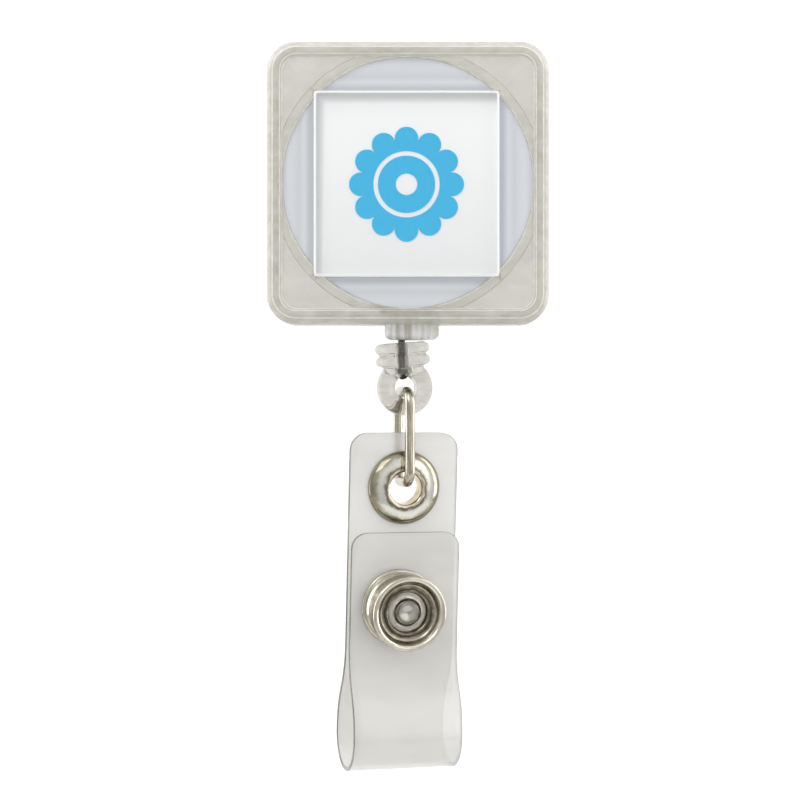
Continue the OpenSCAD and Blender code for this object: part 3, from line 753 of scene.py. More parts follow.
def applied(obj):
    """The object with its modifiers' result as its own mesh."""
    name = obj.name
    graph = bpy.context.evaluated_depsgraph_get()
    graph.update()
    mesh = bpy.data.meshes.new_from_object(obj.evaluated_get(graph), depsgraph=graph)
    obj.modifiers.clear()
    obj.data = mesh
    mesh.name = name
    return obj


def dress(obj, *materials):
    """Fills the object's material slots in order and keeps each face's choice of slot."""
    slots = obj.data.materials
    for index, made in enumerate(materials):
        if index < len(slots):
            slots[index] = made
        else:
            slots.append(made)


def place(obj, body, slot, node, *materials):
    """Gives a finished piece its materials, its body, its slot and the CAD node it stands for."""
    dress(obj, *materials)
    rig.ride(obj, body)
    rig.slot(obj, slot)
    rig.replaces(obj, node)


def across_joint(obj, bodies, slot, node, start, end):
    """Gives a piece its slot and the CAD node it stands for, and lets it bend from one body's motion to another's
    between two points.
    """
    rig.blend(obj, *bodies, start, end)
    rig.slot(obj, slot)
    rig.replaces(obj, node)


# ---------------------------------------------------------------- geometry nodes


def tree_with(name, inputs):
    """A geometry tree with named inputs and its group's ends."""
    tree = bpy.data.node_groups.new(name, "GeometryNodeTree")
    tree.interface.new_socket("Geometry", in_out="INPUT", socket_type="NodeSocketGeometry")
    for label, kind in inputs:
        tree.interface.new_socket(label, in_out="INPUT", socket_type="NodeSocket" + kind)
    tree.interface.new_socket("Geometry", in_out="OUTPUT", socket_type="NodeSocketGeometry")
    return tree, add_node(tree, "NodeGroupInput").outputs, add_node(tree, "NodeGroupOutput").inputs


def end_tree(tree, geometry, made, out):
    """Ends a tree in smooth, realised geometry with its material."""
    smooth = add_node(tree, "GeometryNodeSetShadeSmooth", {"Geometry": geometry})
    real = add_node(tree, "GeometryNodeRealizeInstances", {"Geometry": smooth.outputs[0]})
    painted = add_node(tree, "GeometryNodeSetMaterial", {"Geometry": real.outputs[0], "Material": made})
    tree.links.new(painted.outputs[0], out["Geometry"])


def wire_tree():
    """A round wire along the edges of the mesh it is given."""
    if "wire" in bpy.data.node_groups:
        return bpy.data.node_groups["wire"]
    tree, given, out = tree_with("wire", [("Radius", "Float"), ("Sides", "Int"), ("Material", "Material")])
    line = add_node(tree, "GeometryNodeMeshToCurve", {"Mesh": given["Geometry"]})
    section = add_node(
        tree, "GeometryNodeCurvePrimitiveCircle", {"Resolution": given["Sides"], "Radius": given["Radius"]}
    )
    tube = add_node(
        tree, "GeometryNodeCurveToMesh",
        {"Curve": line.outputs[0], "Profile Curve": section.outputs[0]}, Fill_Caps=True,
    )
    end_tree(tree, tube.outputs[0], given["Material"], out)
    return tree


def ridge_tree():
    """A row of like round ridges, each lying across the row."""
    if "ridges" in bpy.data.node_groups:
        return bpy.data.node_groups["ridges"]
    inputs = [("Count", "Int"), ("Step", "Vector"), ("Radius", "Float"), ("Length", "Float")]
    tree, given, out = tree_with("ridges", inputs + [("Material", "Material")])
    along = {"Count": given["Count"], "Offset": given["Step"]}
    row = add_node(tree, "GeometryNodeMeshLine", along, mode="OFFSET")
    bar = add_node(tree, "GeometryNodeMeshUVSphere", {"Radius": given["Radius"]}, Segments=24, Rings=16)
    half = calculate(tree, "MULTIPLY", calculate(tree, "DIVIDE", given["Length"], given["Radius"]), 0.5)
    size = add_node(tree, "ShaderNodeCombineXYZ", {"X": half}, Y=1.0, Z=1.0)
    stretched = {"Geometry": bar.outputs["Mesh"], "Scale": size.outputs[0]}
    long_bar = add_node(tree, "GeometryNodeTransform", stretched)
    put = add_node(
        tree, "GeometryNodeInstanceOnPoints", {"Points": row.outputs[0], "Instance": long_bar.outputs[0]}
    )
    end_tree(tree, put.outputs[0], given["Material"], out)
    return tree


def run_tree(name, mesh, tree, **values):
    """Runs a tree on a mesh and keeps the result as a plain mesh."""
    obj = new_object(name, mesh)
    modifier = obj.modifiers.new(tree.name, "NODES")
    modifier.node_group = tree
    sockets = {s.name: s.identifier for s in tree.interface.items_tree if s.in_out == "INPUT"}
    for label, value in values.items():
        modifier[sockets[label]] = value
    return applied(obj)


def wire(name, points, radius_mm, made, placed, sides=16, closed=False):
    """A wire along points in millimetres."""
    mesh = bpy.data.meshes.new(name)
    count = len(points)
    edges = [(i, (i + 1) % count) for i in range(count if closed else count - 1)]
    mesh.from_pydata([placed @ Vector(p) for p in points], edges, [])
    return run_tree(name, mesh, wire_tree(), Radius=radius_mm * MM, Sides=sides, Material=made)


def joined(name, objects, apart=False):
    """One object from several; apart gives each one its own material slot."""
    bm = bmesh.new()
    for index, obj in enumerate(objects):
        before = len(bm.faces)
        bm.from_mesh(obj.data)
        bm.faces.ensure_lookup_table()
        for face in bm.faces[before:]:
            face.material_index = index if apart else 0
        bpy.data.objects.remove(obj)
    return object_from(bm, name)


# ---------------------------------------------------------------- the case


def around():
    """Angles around the case, closer together over its corners."""
    angles = set(np.round(np.arange(0, 360, 2.0), 3))
    for middle in (45, 135, 225, 315):
        angles |= set(np.round(np.arange(middle - 9, middle + 9.1, 0.6), 3))
    return [math.radians(a) for a in sorted(angles)]


def ring_of(angles, reach, depth):
    """A ring in the case's sketch frame from functions of the angle."""
    return [
        (reach(a) * math.cos(a), reach(a) * math.sin(a), depth(a) if callable(depth) else depth)
        for a in angles
    ]


def square_ring(angles, half, corner, depth):
    """A rounded square ring at one depth."""
    return ring_of(angles, lambda a: square_radius(a, half, max(corner, 0.05)), depth)


def round_ring(angles, r, depth):
    """A circular ring at one depth."""
    return ring_of(angles, lambda a: r, depth)


def crease(angle, width=0.012, height=0.07):
    """A faint moulded line on each corner's diagonal."""
    off = math.radians(math.degrees(angle) % 90 - 45)
    return height * math.exp(-((off / width) ** 2))


def neck_section(grow, z, sign):
    """Half of the cord's outlet at one height: outside wall and bore, as one loop."""
    middle, half_w, depth, bore, corner = 0.45, 3.1 - grow, 2.7 - grow, 1.7, 1.3
    out = [(middle + half_w, 0)]
    out += arc(middle + half_w - corner, depth - corner, corner, 0, 90, 7)
    out += arc(middle - half_w + corner, depth - corner, corner, 90, 180, 7)
    out += [(middle - half_w, 0)]
    out += arc(middle, 0, bore, 180, 0, 15)
    return [(x, z, sign * max(y, 0)) for x, y in out]


def neck(sign, band):
    """Half of the cord's outlet, pinched in at its lower end."""
    levels = [(0.0, -14.3), (0.0, -15.9), (0.06, -16.1), (0.0, -16.3), (0.0, -16.7), (0.03, -16.95)]
    levels += [(0.12, -17.15), (0.3, -17.33), (0.55, -17.46), (0.8, -17.5)]
    rings = [neck_section(grow, z, sign) for grow, z in levels]
    return skin(rings, bands=[band] * (len(rings) - 1))


class REEL_OT_shells(bpy.types.Operator):
    """Moulds the two halves of the case"""

    bl_idname = "reel.shells"
    bl_label = "Case shells"

    # Material slots of the shells' bands; the edge slot holds painted highlight lines
    wall, corner, ring, edge, outlet = range(5)
    thick = 1.2
    rim_bend = 1.5

    def front(self, case):
        """The front shell: rim, sunk corners, and the thick ring round the disc."""
        angles = around()
        half, corner = case.half, case.corner
        panel = case.panel - 0.06
        panel_corner = corner - (half - case.panel)
        roof, shoulder, panel_face, seat = 2.2, 3.4, 4.3, 3.1

        low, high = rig.box("label_card")
        label_at = (CASE.inverted() @ ((low + high) / 2)).to_2d()
        label_half = case.label / 2 + 0.05

        def outer(a):
            """The ring's outside, where the panel's edge may cut it."""
            return min(square_radius(a, panel, panel_corner), case.ring)

        def ring_reach(share):
            """A line round the ring's face, at a share of its width."""
            inner = case.disc + 0.03
            return lambda a: inner + share * (outer(a) - inner)

        def over_ring(share, z):
            """The ring's face, cut down to the disc where the label's corners stand."""

            def depth(a):
                """The height at one angle."""
                r = ring_reach(share)(a)
                off = max(abs(r * math.cos(a) - label_at.x), abs(r * math.sin(a) - label_at.y)) - label_half
                return z if off > 0 else DISC_FACE

            return depth

        rings = [round_ring(angles, 0, roof), round_ring(angles, 8, roof)]
        rings += self.inside(angles, case, (roof, roof - 0.4, 0.02))
        rings += [square_ring(angles, half - 0.12, corner - 0.12, 0.01)]
        rings += [square_ring(angles, half, corner, z) for z in (0.12, 1.2, 2.4)]
        bands = [self.wall] * (len(rings) - 1)
        inset = self.rim_bend
        for i, (x, z) in enumerate(arc(0, 0, inset, 8, 90, 12)):
            rings.append(square_ring(angles, half - inset + x, corner - inset + x, shoulder + z))
            # One painted highlight line runs along the rim's bend
            bands.append(self.edge if i == 8 else self.wall)
        edge, ring = self.edge, self.ring
        # The step's outer and inner lines take the painted highlight
        step = ((0.1, 4.87, edge), (0.16, 4.72, ring), (0.24, 4.46, ring), (0.36, 4.33, edge))
        for more, z, band in step:
            rings.append(square_ring(angles, half - inset - more, corner - inset - more * 0.6, z))
            bands.append(band)
        for share in (0.6, 0.2):

            def between(a, share=share):
                """A line between the ring and the panel's edge."""
                return outer(a) + share * (square_radius(a, panel, panel_corner) - outer(a))

            rings.append(ring_of(angles, between, lambda a: panel_face + crease(a)))
            bands.append(self.corner)
        face = ((1.0, panel_face, self.corner), (0.97, 4.22, self.wall), (0.9, 4.36, self.ring))
        face += ((0.5, 4.42, self.ring), (0.3, 4.42, self.ring), (0.18, 4.38, self.ring))
        for share, z, band in face:
            rings.append(ring_of(angles, ring_reach(share), over_ring(share, z)))
            bands.append(band)
        hole = case.disc + 0.015
        rings += [round_ring(angles, hole, 3.95), round_ring(angles, hole, seat), round_ring(angles, 0, seat)]
        # The chamfer at the disc's edge takes the painted highlight
        bands += [self.edge, self.ring, self.wall]
        obj = solid("case_front", skin(rings, caps=False, bands=bands) + neck(1, self.outlet), CASE)
        looks = (frosted_styrene, frosted_corner, frosted_ring, frosted_edge, frosted_outlet)
        place(obj, "case", "case_plastic", "front_shell", *map(finish, looks))

    def inside(self, angles, case, depths):
        """The cavity's wall, with a small slope where it meets the roof or the floor."""
        half, corner = case.half - self.thick, case.corner - self.thick
        first, *rest = depths
        slope = [square_ring(angles, half - 0.5, corner - 0.5, first)]
        return slope + [square_ring(angles, half, corner, z) for z in rest]

    def back(self, case):
        """The back shell: the drum's post with the rivet's hole, and a shallow recess behind."""
        angles = around()
        half, corner = case.half, case.corner
        post_top, floor, outside, recess = 1.9, -3.5, -4.7, -4.58
        post_r, bore, rivet_hole = 2.5, 1.65, 0.95
        inner = ((post_r, post_top), (post_r, -3.4), (2.62, floor), (9, floor))
        rings = [round_ring(angles, r, z) for r, z in inner]
        rings += self.inside(angles, case, (floor, -3.0, -0.02))
        rings += [square_ring(angles, half - 0.12, corner - 0.12, -0.01)]
        rings += [square_ring(angles, half, corner, z) for z in (-0.12, -1.6, -3.2)]
        inset = self.rim_bend
        for x, z in arc(0, 0, inset, -8, -90, 12):
            rings.append(square_ring(angles, half - inset + x, corner - inset + x, outside + inset + z))
        rings += [square_ring(angles, 13.2, 1.6, outside), square_ring(angles, 13.05, 1.5, recess)]
        middle = [(5.2, recess), (5.0, outside), (rivet_hole, outside), (rivet_hole, floor), (bore, floor)]
        rings += [round_ring(angles, r, z) for r, z in middle + [(bore, post_top)]]
        obj = solid("case_back", skin(rings, closed_path=True) + neck(-1, 1), CASE)
        place(obj, "case", "case_plastic", "back_shell", finish(frosted_corner), finish(frosted_outlet))

    def execute(self, context):
        case = in_mm(context.scene.reel_case)
        self.front(case)
        self.back(case)
        return {"FINISHED"}


class REEL_OT_face(bpy.types.Operator):
    """Fits the disc, and lays the printed label under its clear resin"""

    bl_idname = "reel.face"
    bl_label = "Disc and label"

    scallops = 12

    def rosette_reach(self, angle):
        """Edge of a disc with scallops around it."""
        sector = 2 * math.pi / self.scallops
        off = (angle + sector / 2) % sector - sector / 2
        at, r = 5.1, 1.33
        return at * math.cos(off) + math.sqrt(r * r - (at * math.sin(off)) ** 2)

    def execute(self, context):
        case = in_mm(context.scene.reel_case)
        r = case.disc
        profile = [(0, 3.1), (r - 0.1, 3.1), (r, 3.2), (r, 3.85), *arc(r - 0.05, 3.85, 0.05, 0, 90, 3)]
        profile += [(x, DISC_FACE) for x in (r - 0.5, 10, 5, 0)]
        disc = solid("face_disc_piece", lathe(profile, 180), FROM_CASE)
        place(disc, "case", "disc_plastic", "face_disc", finish(pearl_styrene))

        shift = np.array([-0.15, -0.19, 0])
        half = case.label / 2
        angles = [math.radians(a) for a in np.arange(0, 360, 1.5)]

        def square(inset, z):
            """The label's outline."""
            return np.array(square_ring(angles, half - inset, 0.2, z)) + shift

        def hub(z):
            """The label's middle."""
            return np.array(round_ring(angles, 0, z)) + shift

        card = [hub(DISC_FACE), square(0, DISC_FACE), square(0, CARD_FACE), hub(CARD_FACE)]
        card = solid("label_print", skin(card, caps=False), CASE)
        place(card, "case", "white_print", "label_card", finish(printed_film))

        levels = [(0, RESIN_FROM), (0, 5.1), (0.03, 5.18), (0.12, 5.28), (0.22, 5.35), (0.29, 5.37)]
        levels += [(0.36, RESIN_TOP)]
        rings = [hub(RESIN_FROM)] + [square(inset, z) for inset, z in levels] + [hub(RESIN_TOP)]
        # The side and the rounded edge take slot 1, the painted highlight
        bands = [0] + [1] * (len(levels) - 2) + [0] * 2
        dome = solid("label_resin", skin(rings, caps=False, bands=bands), CASE, 60)
        place(dome, "case", "clear_resin", "label_dome", finish(poured_resin), finish(resin_edge))

        fine = [math.radians(a) for a in np.arange(0, 360, 1.0)]

        def band(outside, inside):
            """A printed band between two outlines, each one a function of the angle."""
            ends = ((outside, CARD_FACE), (outside, INK_FACE), (inside, INK_FACE), (inside, CARD_FACE))
            return skin([np.array(ring_of(fine, reach, z)) + shift for reach, z in ends], closed_path=True)

        emblem = band(self.rosette_reach, lambda a: 3.7) + band(lambda a: 3.2, lambda a: 1.2)
        place(solid("label_rosette", emblem, CASE), "case", "blue_ink", "label_emblem", finish(printed_ink))
        return {"FINISHED"}


# ---------------------------------------------------------------- inside the case


class REEL_OT_spool(bpy.types.Operator):
    """Winds the cord on the drum and coils the power spring in its chamber"""

    bl_idname = "reel.spool"
    bl_label = "Spool"

    def execute(self, context):
        reel = in_mm(context.scene.reel_cord)
        for name, node in (("spool_drum", "drum"), ("spool_cap", "drum_cap")):
            place(finished_copy(name, node, 0.1), "spool", "white_plastic", node, finish(white_acetal))

        pitch, start_r, steps = reel.cord, 9.0, 40
        made = finish(braided_nylon)
        rows = []
        for row in range(reel.rows):
            depth = (row - (reel.rows - 1) / 2) * pitch
            count = reel.turns * steps
            spiral = []
            for i in range(count - steps // 3):
                a, r = 2 * math.pi * i / steps, start_r + pitch * i / steps
                spiral.append((r * math.cos(a), r * math.sin(a), depth))
            rows.append(wire("turns", spiral, pitch / 2 - 0.01, made, CASE, 10))
        place(joined("cord_turns", rows), "spool", "grey_cord", "cord_winding", made)

        low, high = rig.box("power_spring")
        inner, outer, turns, thick = 2.7, 7.65, 8, 0.15
        z0, z1 = (CASE_AT.y - high.y) / MM, (CASE_AT.y - low.y) / MM
        per_turn = 36
        count = turns * per_turn
        sections = []
        for i in range(count + 1):
            a, r = math.radians(360 / per_turn * i), inner + (outer - inner) * i / count
            sections.append([
                ((r + t) * math.cos(a), (r + t) * math.sin(a), z)
                for t, z in ((0, z0), (thick, z0), (thick, z1), (0, z1))
            ])
        strip = solid("spring_strip", skin(sections), CASE)
        place(strip, "spool", "spring_steel", "power_spring", finish(spring_steel))
        return {"FINISHED"}


class REEL_OT_cord(bpy.types.Operator):
    """Runs the cord from the winding to its knot in the stopper"""

    bl_idname = "reel.cord"
    bl_label = "Cord"

    def execute(self, context):
        reel = in_mm(context.scene.reel_cord)
        made = finish(braided_nylon)
        # The cord leaves the winding on a tangent, turns down at the outlet and ends in the stopper
        cord_x, turn_z, tail_z, end_z = -0.7, -15.6, -16.2, -20.5
        lead_r = 12.75
        far = math.hypot(cord_x, turn_z)
        angle = math.asin(lead_r / far) - math.atan2(-cord_x, -turn_z)
        way = np.array([-math.sin(angle), 0, math.cos(angle)])
        run = math.sqrt(far * far - lead_r * lead_r)
        turn = np.array([cord_x, 0, turn_z])
        lead = [turn + way * (run * f) for f in np.linspace(1, 0.08, 12)]
        lead += [turn + way * 0.25 + np.array([0, 0, -0.22]), np.array([cord_x, 0, tail_z])]
        piece = wire("cord_inside", lead, reel.cord / 2, made, FROM_CASE, 14)
        place(piece, "case", "grey_cord", "cord_lead", made)

        tail = [(cord_x, 0, z) for z in np.linspace(tail_z + 0.02, end_z, 24)]
        piece = wire("cord_drawn", tail, reel.cord / 2, made, FROM_CASE, 14)
        ends = [FROM_CASE @ Vector((0, 0, z)) for z in (tail_z, end_z)]
        across_joint(piece, ("case", "cord_end"), "grey_cord", "cord_tail", *ends)

        low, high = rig.box("cord_knot")
        centre = np.array(((low + high) / 2 - CASE_AT) / MM)
        knot = []
        for a in np.radians(np.arange(0, 360, 5)):
            x, z = math.sin(a) + 1.25 * math.sin(2 * a), math.cos(a) - 1.25 * math.cos(2 * a)
            knot.append(centre + 0.2 * np.array([x, -0.9 * math.sin(3 * a), z]))
        strands = wire("strands", knot, 0.24, made, FROM_CASE, 12, closed=True)
        above = [centre + (p - centre) * 0.62 + np.array([-0.06, 0, 1.7]) for p in knot]
        upper = wire("upper", above, 0.17, made, FROM_CASE, 12, closed=True)
        strands = joined("both_knots", [strands, upper])
        end = [(0.0, 0.74), (0.22, 0.72), (0.45, 0.6), (0.62, 0.42), (0.66, 0.3), (0.5, 0.24), (0.0, 0.26)]
        turn = np.radians(np.arange(0, 360, 15))
        turned = [[centre + (r * math.cos(a), r * math.sin(a), -down) for a in turn] for r, down in end]
        black_end = solid("burnt_end", skin(turned, caps=False), FROM_CASE)
        piece = joined("cord_knot_piece", [strands, black_end], apart=True)
        place(piece, "cord_end", "grey_cord", "cord_knot", made, finish(melted_nylon))
        return {"FINISHED"}


# ---------------------------------------------------------------- hanging parts


class REEL_OT_stopper(bpy.types.Operator):
    """Rounds off the moulded stopper"""

    bl_idname = "reel.stopper"
    bl_label = "Stopper"

    def execute(self, context):
        bm = bmesh.new()
        bm.from_mesh(frame["nodes"]["cord_stopper"].data)
        bmesh.ops.remove_doubles(bm, verts=bm.verts, dist=2e-7)
        obj = object_from(bm, "stopper_moulding")
        remesh = obj.modifiers.new("even", "REMESH")
        remesh.mode = "VOXEL"
        remesh.voxel_size = 0.085 * MM
        soften = obj.modifiers.new("soften", "SMOOTH")
        soften.factor = 0.5
        soften.iterations = 6
        applied(obj)
        for face in obj.data.polygons:
            face.use_smooth = True
        place(obj, "stopper", "clear_plastic", "cord_stopper", finish(clear_acrylic))
        return {"FINISHED"}


class REEL_OT_link(bpy.types.Operator):
    """Bends the wire link, with its butt joint on the back leg"""

    bl_idname = "reel.link"
    bl_label = "Wire link"

    def execute(self, context):
        reel = in_mm(context.scene.reel_cord)
        half, bend = 2.5, 1.5
        run = half - bend
        seam = (LINK_TOP + LINK_LOW) / 2 + 1.5
        path = [(half, seam - 0.006)]
        path += [(half, z) for z in np.linspace(seam - 0.6, LINK_LOW + bend + 0.3, 8)]
        path += arc(run, LINK_LOW + bend, bend, 0, -90, 14)
        path += arc(-run, LINK_LOW + bend, bend, -90, -180, 14)
        path += [(-half, z) for z in np.linspace(LINK_LOW + bend + 0.6, LINK_TOP - bend - 0.6, 14)]
        path += arc(-run, LINK_TOP - bend, bend, 180, 90, 14)
        path += arc(run, LINK_TOP - bend, bend, 90, 0, 14)
        path += [(half, z) for z in np.linspace(LINK_TOP - bend - 0.3, seam + 0.6, 6)]
        path += [(half, seam + 0.006)]
        made = finish(nickel_wire)
        piece = wire("wire_loop", [(0, u, z) for u, z in path], reel.wire / 2, made, LINK, 28)
        place(piece, "link", "nickel", "wire_link", made)
        return {"FINISHED"}


def strap_line(strap):
    """The strap's middle line in (back, up) and its normals, from its top to the flap's end."""
    top, straight, loop_z, flap_top = 6.23, -17.77, FOLD.z, -4.97
    swell = strap.loop - strap.gap / 2
    drop = straight - loop_z
    angle = 2 * math.atan(swell / drop)
    r = drop / math.sin(angle) / 2
    turn = math.degrees(angle)
    line = [(0, z) for z in np.linspace(top, straight + 0.2, 60)]
    line += arc(r, straight, r, 180, 180 + turn, 16)
    line += arc(swell - r, loop_z, r, turn - 2, 0, 16)
    line += arc(-strap.gap / 2, loop_z, strap.loop, -4, -176, 43)
    line += arc(-strap.gap / 2 - strap.loop + r, loop_z, r, 180, 180 - turn, 17)
    line += arc(-strap.gap - r, straight, r, -turn + 2, 0, 16)
    line += [(-strap.gap, z) for z in np.linspace(straight + 0.2, flap_top, 36)]
    line = np.array(line)
    ahead = np.gradient(line, axis=0)
    ahead /= np.linalg.norm(ahead, axis=1)[:, None]
    return line, np.stack([-ahead[:, 1], ahead[:, 0]], 1)


def strap_rings(strap, line, normals, start_round, end_round):
    """Rings around the strap's section, drawn in at the ends to round the corners."""
    walked = np.concatenate([[0], np.cumsum(np.linalg.norm(np.diff(line, axis=0), axis=1))])
    half_t, lip = strap.thickness / 2, 0.08
    rings = []

    def half_width(s, round_r):
        """Half the width at a distance from an end whose corners are round."""
        if round_r <= 0 or s >= round_r:
            return strap.width / 2
        return strap.width / 2 - round_r + math.sqrt(max(round_r**2 - (round_r - s) ** 2, 0))

    for p, n, at in zip(line, normals, walked):
        half = min(half_width(at, start_round), half_width(walked[-1] - at, end_round))
        across = np.linspace(-1, 1, 15) * (half - lip)
        front = [(x, half_t) for x in across] + [(half, half_t - lip), (half, lip - half_t)]
        back = [(x, -half_t) for x in across[::-1]] + [(-half, lip - half_t), (-half, half_t - lip)]
        rings.append([(x, p[0] + n[0] * t, p[1] + n[1] * t) for x, t in front + back])
    return rings


class REEL_OT_strap(bpy.types.Operator):
    """Folds the clear vinyl strap"""

    bl_idname = "reel.strap"
    bl_label = "Vinyl strap"

    def execute(self, context):
        strap = in_mm(context.scene.reel_strap)
        line, normals = strap_line(strap)
        # The two layers meet at the fold that the flap turns on
        front = -strap.gap / 2 - 1
        seam = min(i for i, p in enumerate(line) if p[1] >= FOLD.z - 0.02 and p[0] < front)
        bend = 3.0
        ends = [STRAP @ Vector((0, 0, z)) for z in (FOLD.z, FOLD.z + bend)]
        for name, part, start_round, end_round, node in (
            ("strap_layer_back", slice(0, seam + 1), 2.0, 0, "strap_back"),
            ("strap_layer_flap", slice(seam, None), 0, 1.8, "strap_flap"),
        ):
            points, sides = line[part], normals[part]
            if start_round:
                extra = [points[0] + (points[1] - points[0]) * f for f in (0.1, 0.35)]
                points = np.concatenate([points[:1], extra, points[1:]])
                sides = np.concatenate([sides[:1], sides[:1], sides[:1], sides[1:]])
            if end_round:
                extra = [points[-1] + (points[-2] - points[-1]) * f for f in (0.35, 0.1)]
                points = np.concatenate([points[:-1], extra, points[-1:]])
                sides = np.concatenate([sides[:-1], sides[-1:], sides[-1:], sides[-1:]])
            obj = solid(name, skin(strap_rings(strap, points, sides, start_round, end_round)), STRAP, 50)
            if node == "strap_back":
                self.punch(obj, 2.0)
            self.mark_edges(obj)
            dress(obj, finish(clear_vinyl), finish(vinyl_edge))
            if node == "strap_flap":
                across_joint(obj, ("strap", "flap"), "clear_vinyl", node, *ends)
            else:
                place(obj, "strap", "clear_vinyl", node)
            run = float(np.sum(np.linalg.norm(np.diff(points, axis=0), axis=1))) * MM
            width = strap.width * MM
            # The rounded corners take a little from the sheet's area
            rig.sheet(obj, flat=(width, run), held="folded", area=0.97 * width * run)
        return {"FINISHED"}

    def punch(self, obj, r):
        """Cuts the grommet's hole."""
        cutter = solid("cutter", lathe([(0, -1.5), (r, -1.5), (r, 1.5), (0, 1.5)], 64), STRAP)
        cut = obj.modifiers.new("hole", "BOOLEAN")
        cut.object = cutter
        cut.solver = "EXACT"
        applied(obj)
        bpy.data.objects.remove(cutter)

    def mark_edges(self, obj):
        """Gives the narrow cut faces round the strap the edge's material."""
        inverse = STRAP.inverted()
        corners_from = -5.5
        for face in obj.data.polygons:
            normal = (inverse.to_3x3() @ face.normal).normalized()
            end = abs(normal.z) > 0.7 and (inverse @ face.center).z > corners_from
            face.material_index = 1 if end or abs(normal.x) > 0.5 else 0


class REEL_OT_hardware(bpy.types.Operator):
    """Presses the grommet and the snap into the strap"""

    bl_idname = "reel.hardware"
    bl_label = "Grommet and snap"

    def execute(self, context):
        strap = in_mm(context.scene.reel_strap)
        made, ring, snap = finish(nickel_plate), finish(grommet_nickel), finish(snap_nickel)
        face = strap.thickness / 2 + 0.02
        hole, barrel = 1.85, 2.15
        front = [(hole, -0.95), (barrel, -0.95), (barrel, face), (4.12, face), (GROMMET_R, face + 0.08)]
        front += [(GROMMET_R, face + 0.2), (4.12, face + 0.34), (3.95, face + 0.56), (3.7, face + 0.76)]
        front += [(3.45, face + 0.88), (3.35, face + 0.92), (2.75, face + 1.1), (2.5, face + 1.14)]
        front += arc(2.2, face + 0.79, 0.35, 78, 180, 8)
        front += [(hole, face), (hole, -0.4)]
        self.turned("grommet_eyelet", front, (0, 0, 0), "strap", "grommet_front", ring)
        back = [(barrel + 0.02, -face), (4.02, -face), (4.1, -face - 0.08), (4.05, -face - 0.25)]
        back += [(3.6, -face - 0.45), (3.2, -face - 0.5), (2.9, -face - 0.42), (barrel + 0.02, -face - 0.42)]
        self.turned("grommet_washer", back[::-1], (0, 0, 0), "strap", "grommet_back", made)

        front, floor, rim = strap.gap + face, 4.2, 6.7
        socket = [(2.3, front), (4.25, front), (SNAP_R, front + 0.08), (SNAP_R, front + 0.25)]
        socket += [(4.25, front + 0.36), (4.05, front + 0.42), (3.98, front + 0.62), (4.05, front + 0.82)]
        socket += [(4.14, front + 1.0), (4.14, front + 1.5), (4.03, front + 1.62), (3.96, front + 1.78)]
        socket += [(3.96, front + 2.0), (4.05, front + 2.15)]
        socket += [(4.08, rim - 0.6), (4.2, rim - 0.5), (4.25, rim - 0.3)]
        socket += [(4.22, rim - 0.14), (4.1, rim - 0.03), (3.94, rim), (3.76, rim - 0.06), (3.62, rim - 0.2)]
        socket += [(3.4, rim - 0.62), (3.25, rim - 0.95), (3.05, rim - 1.1), (2.8, rim - 1.05)]
        socket += arc(2.52, rim - 1.12, 0.22, 20, 170, 8)
        socket += [(2.3, rim - 1.3), (2.3, floor)]
        self.turned("snap_ring", socket, SNAP_AT, "flap", "snap_socket", snap)

        back_face = strap.gap - face
        post = [(0, floor - 0.3), (1.2, floor - 0.35), (1.9, floor - 0.6), (1.9, back_face - 0.2)]
        post += [(3.1, back_face - 0.2), (3.2, back_face - 0.1), (3.1, back_face), (2.25, back_face)]
        post += [(2.25, rim - 1.45), (2.1, rim - 1.4), (1.78, rim - 1.52), (1.55, rim - 1.42)]
        post += arc(1.15, rim - 1.25, 0.32, -10, 80, 7)
        post += [(0.8, rim - 0.98), (0.5, rim - 1.02), (0.22, rim - 1.1), (0, rim - 1.12)]
        self.turned("snap_eyelet", post, SNAP_AT, "flap", "socket_eyelet", snap)
        for name, node in (("snap_post", "snap_stud"), ("snap_cover", "snap_cap")):
            place(finished_copy(name, node, 0.06), "strap", "nickel", node, made)
        return {"FINISHED"}

    def turned(self, name, profile, centre, body, node, made):
        """A pressed part from its profile."""
        place(solid(name, lathe(profile, centre=centre), STRAP, 50), body, "nickel", node, made)


# ---------------------------------------------------------------- the clip


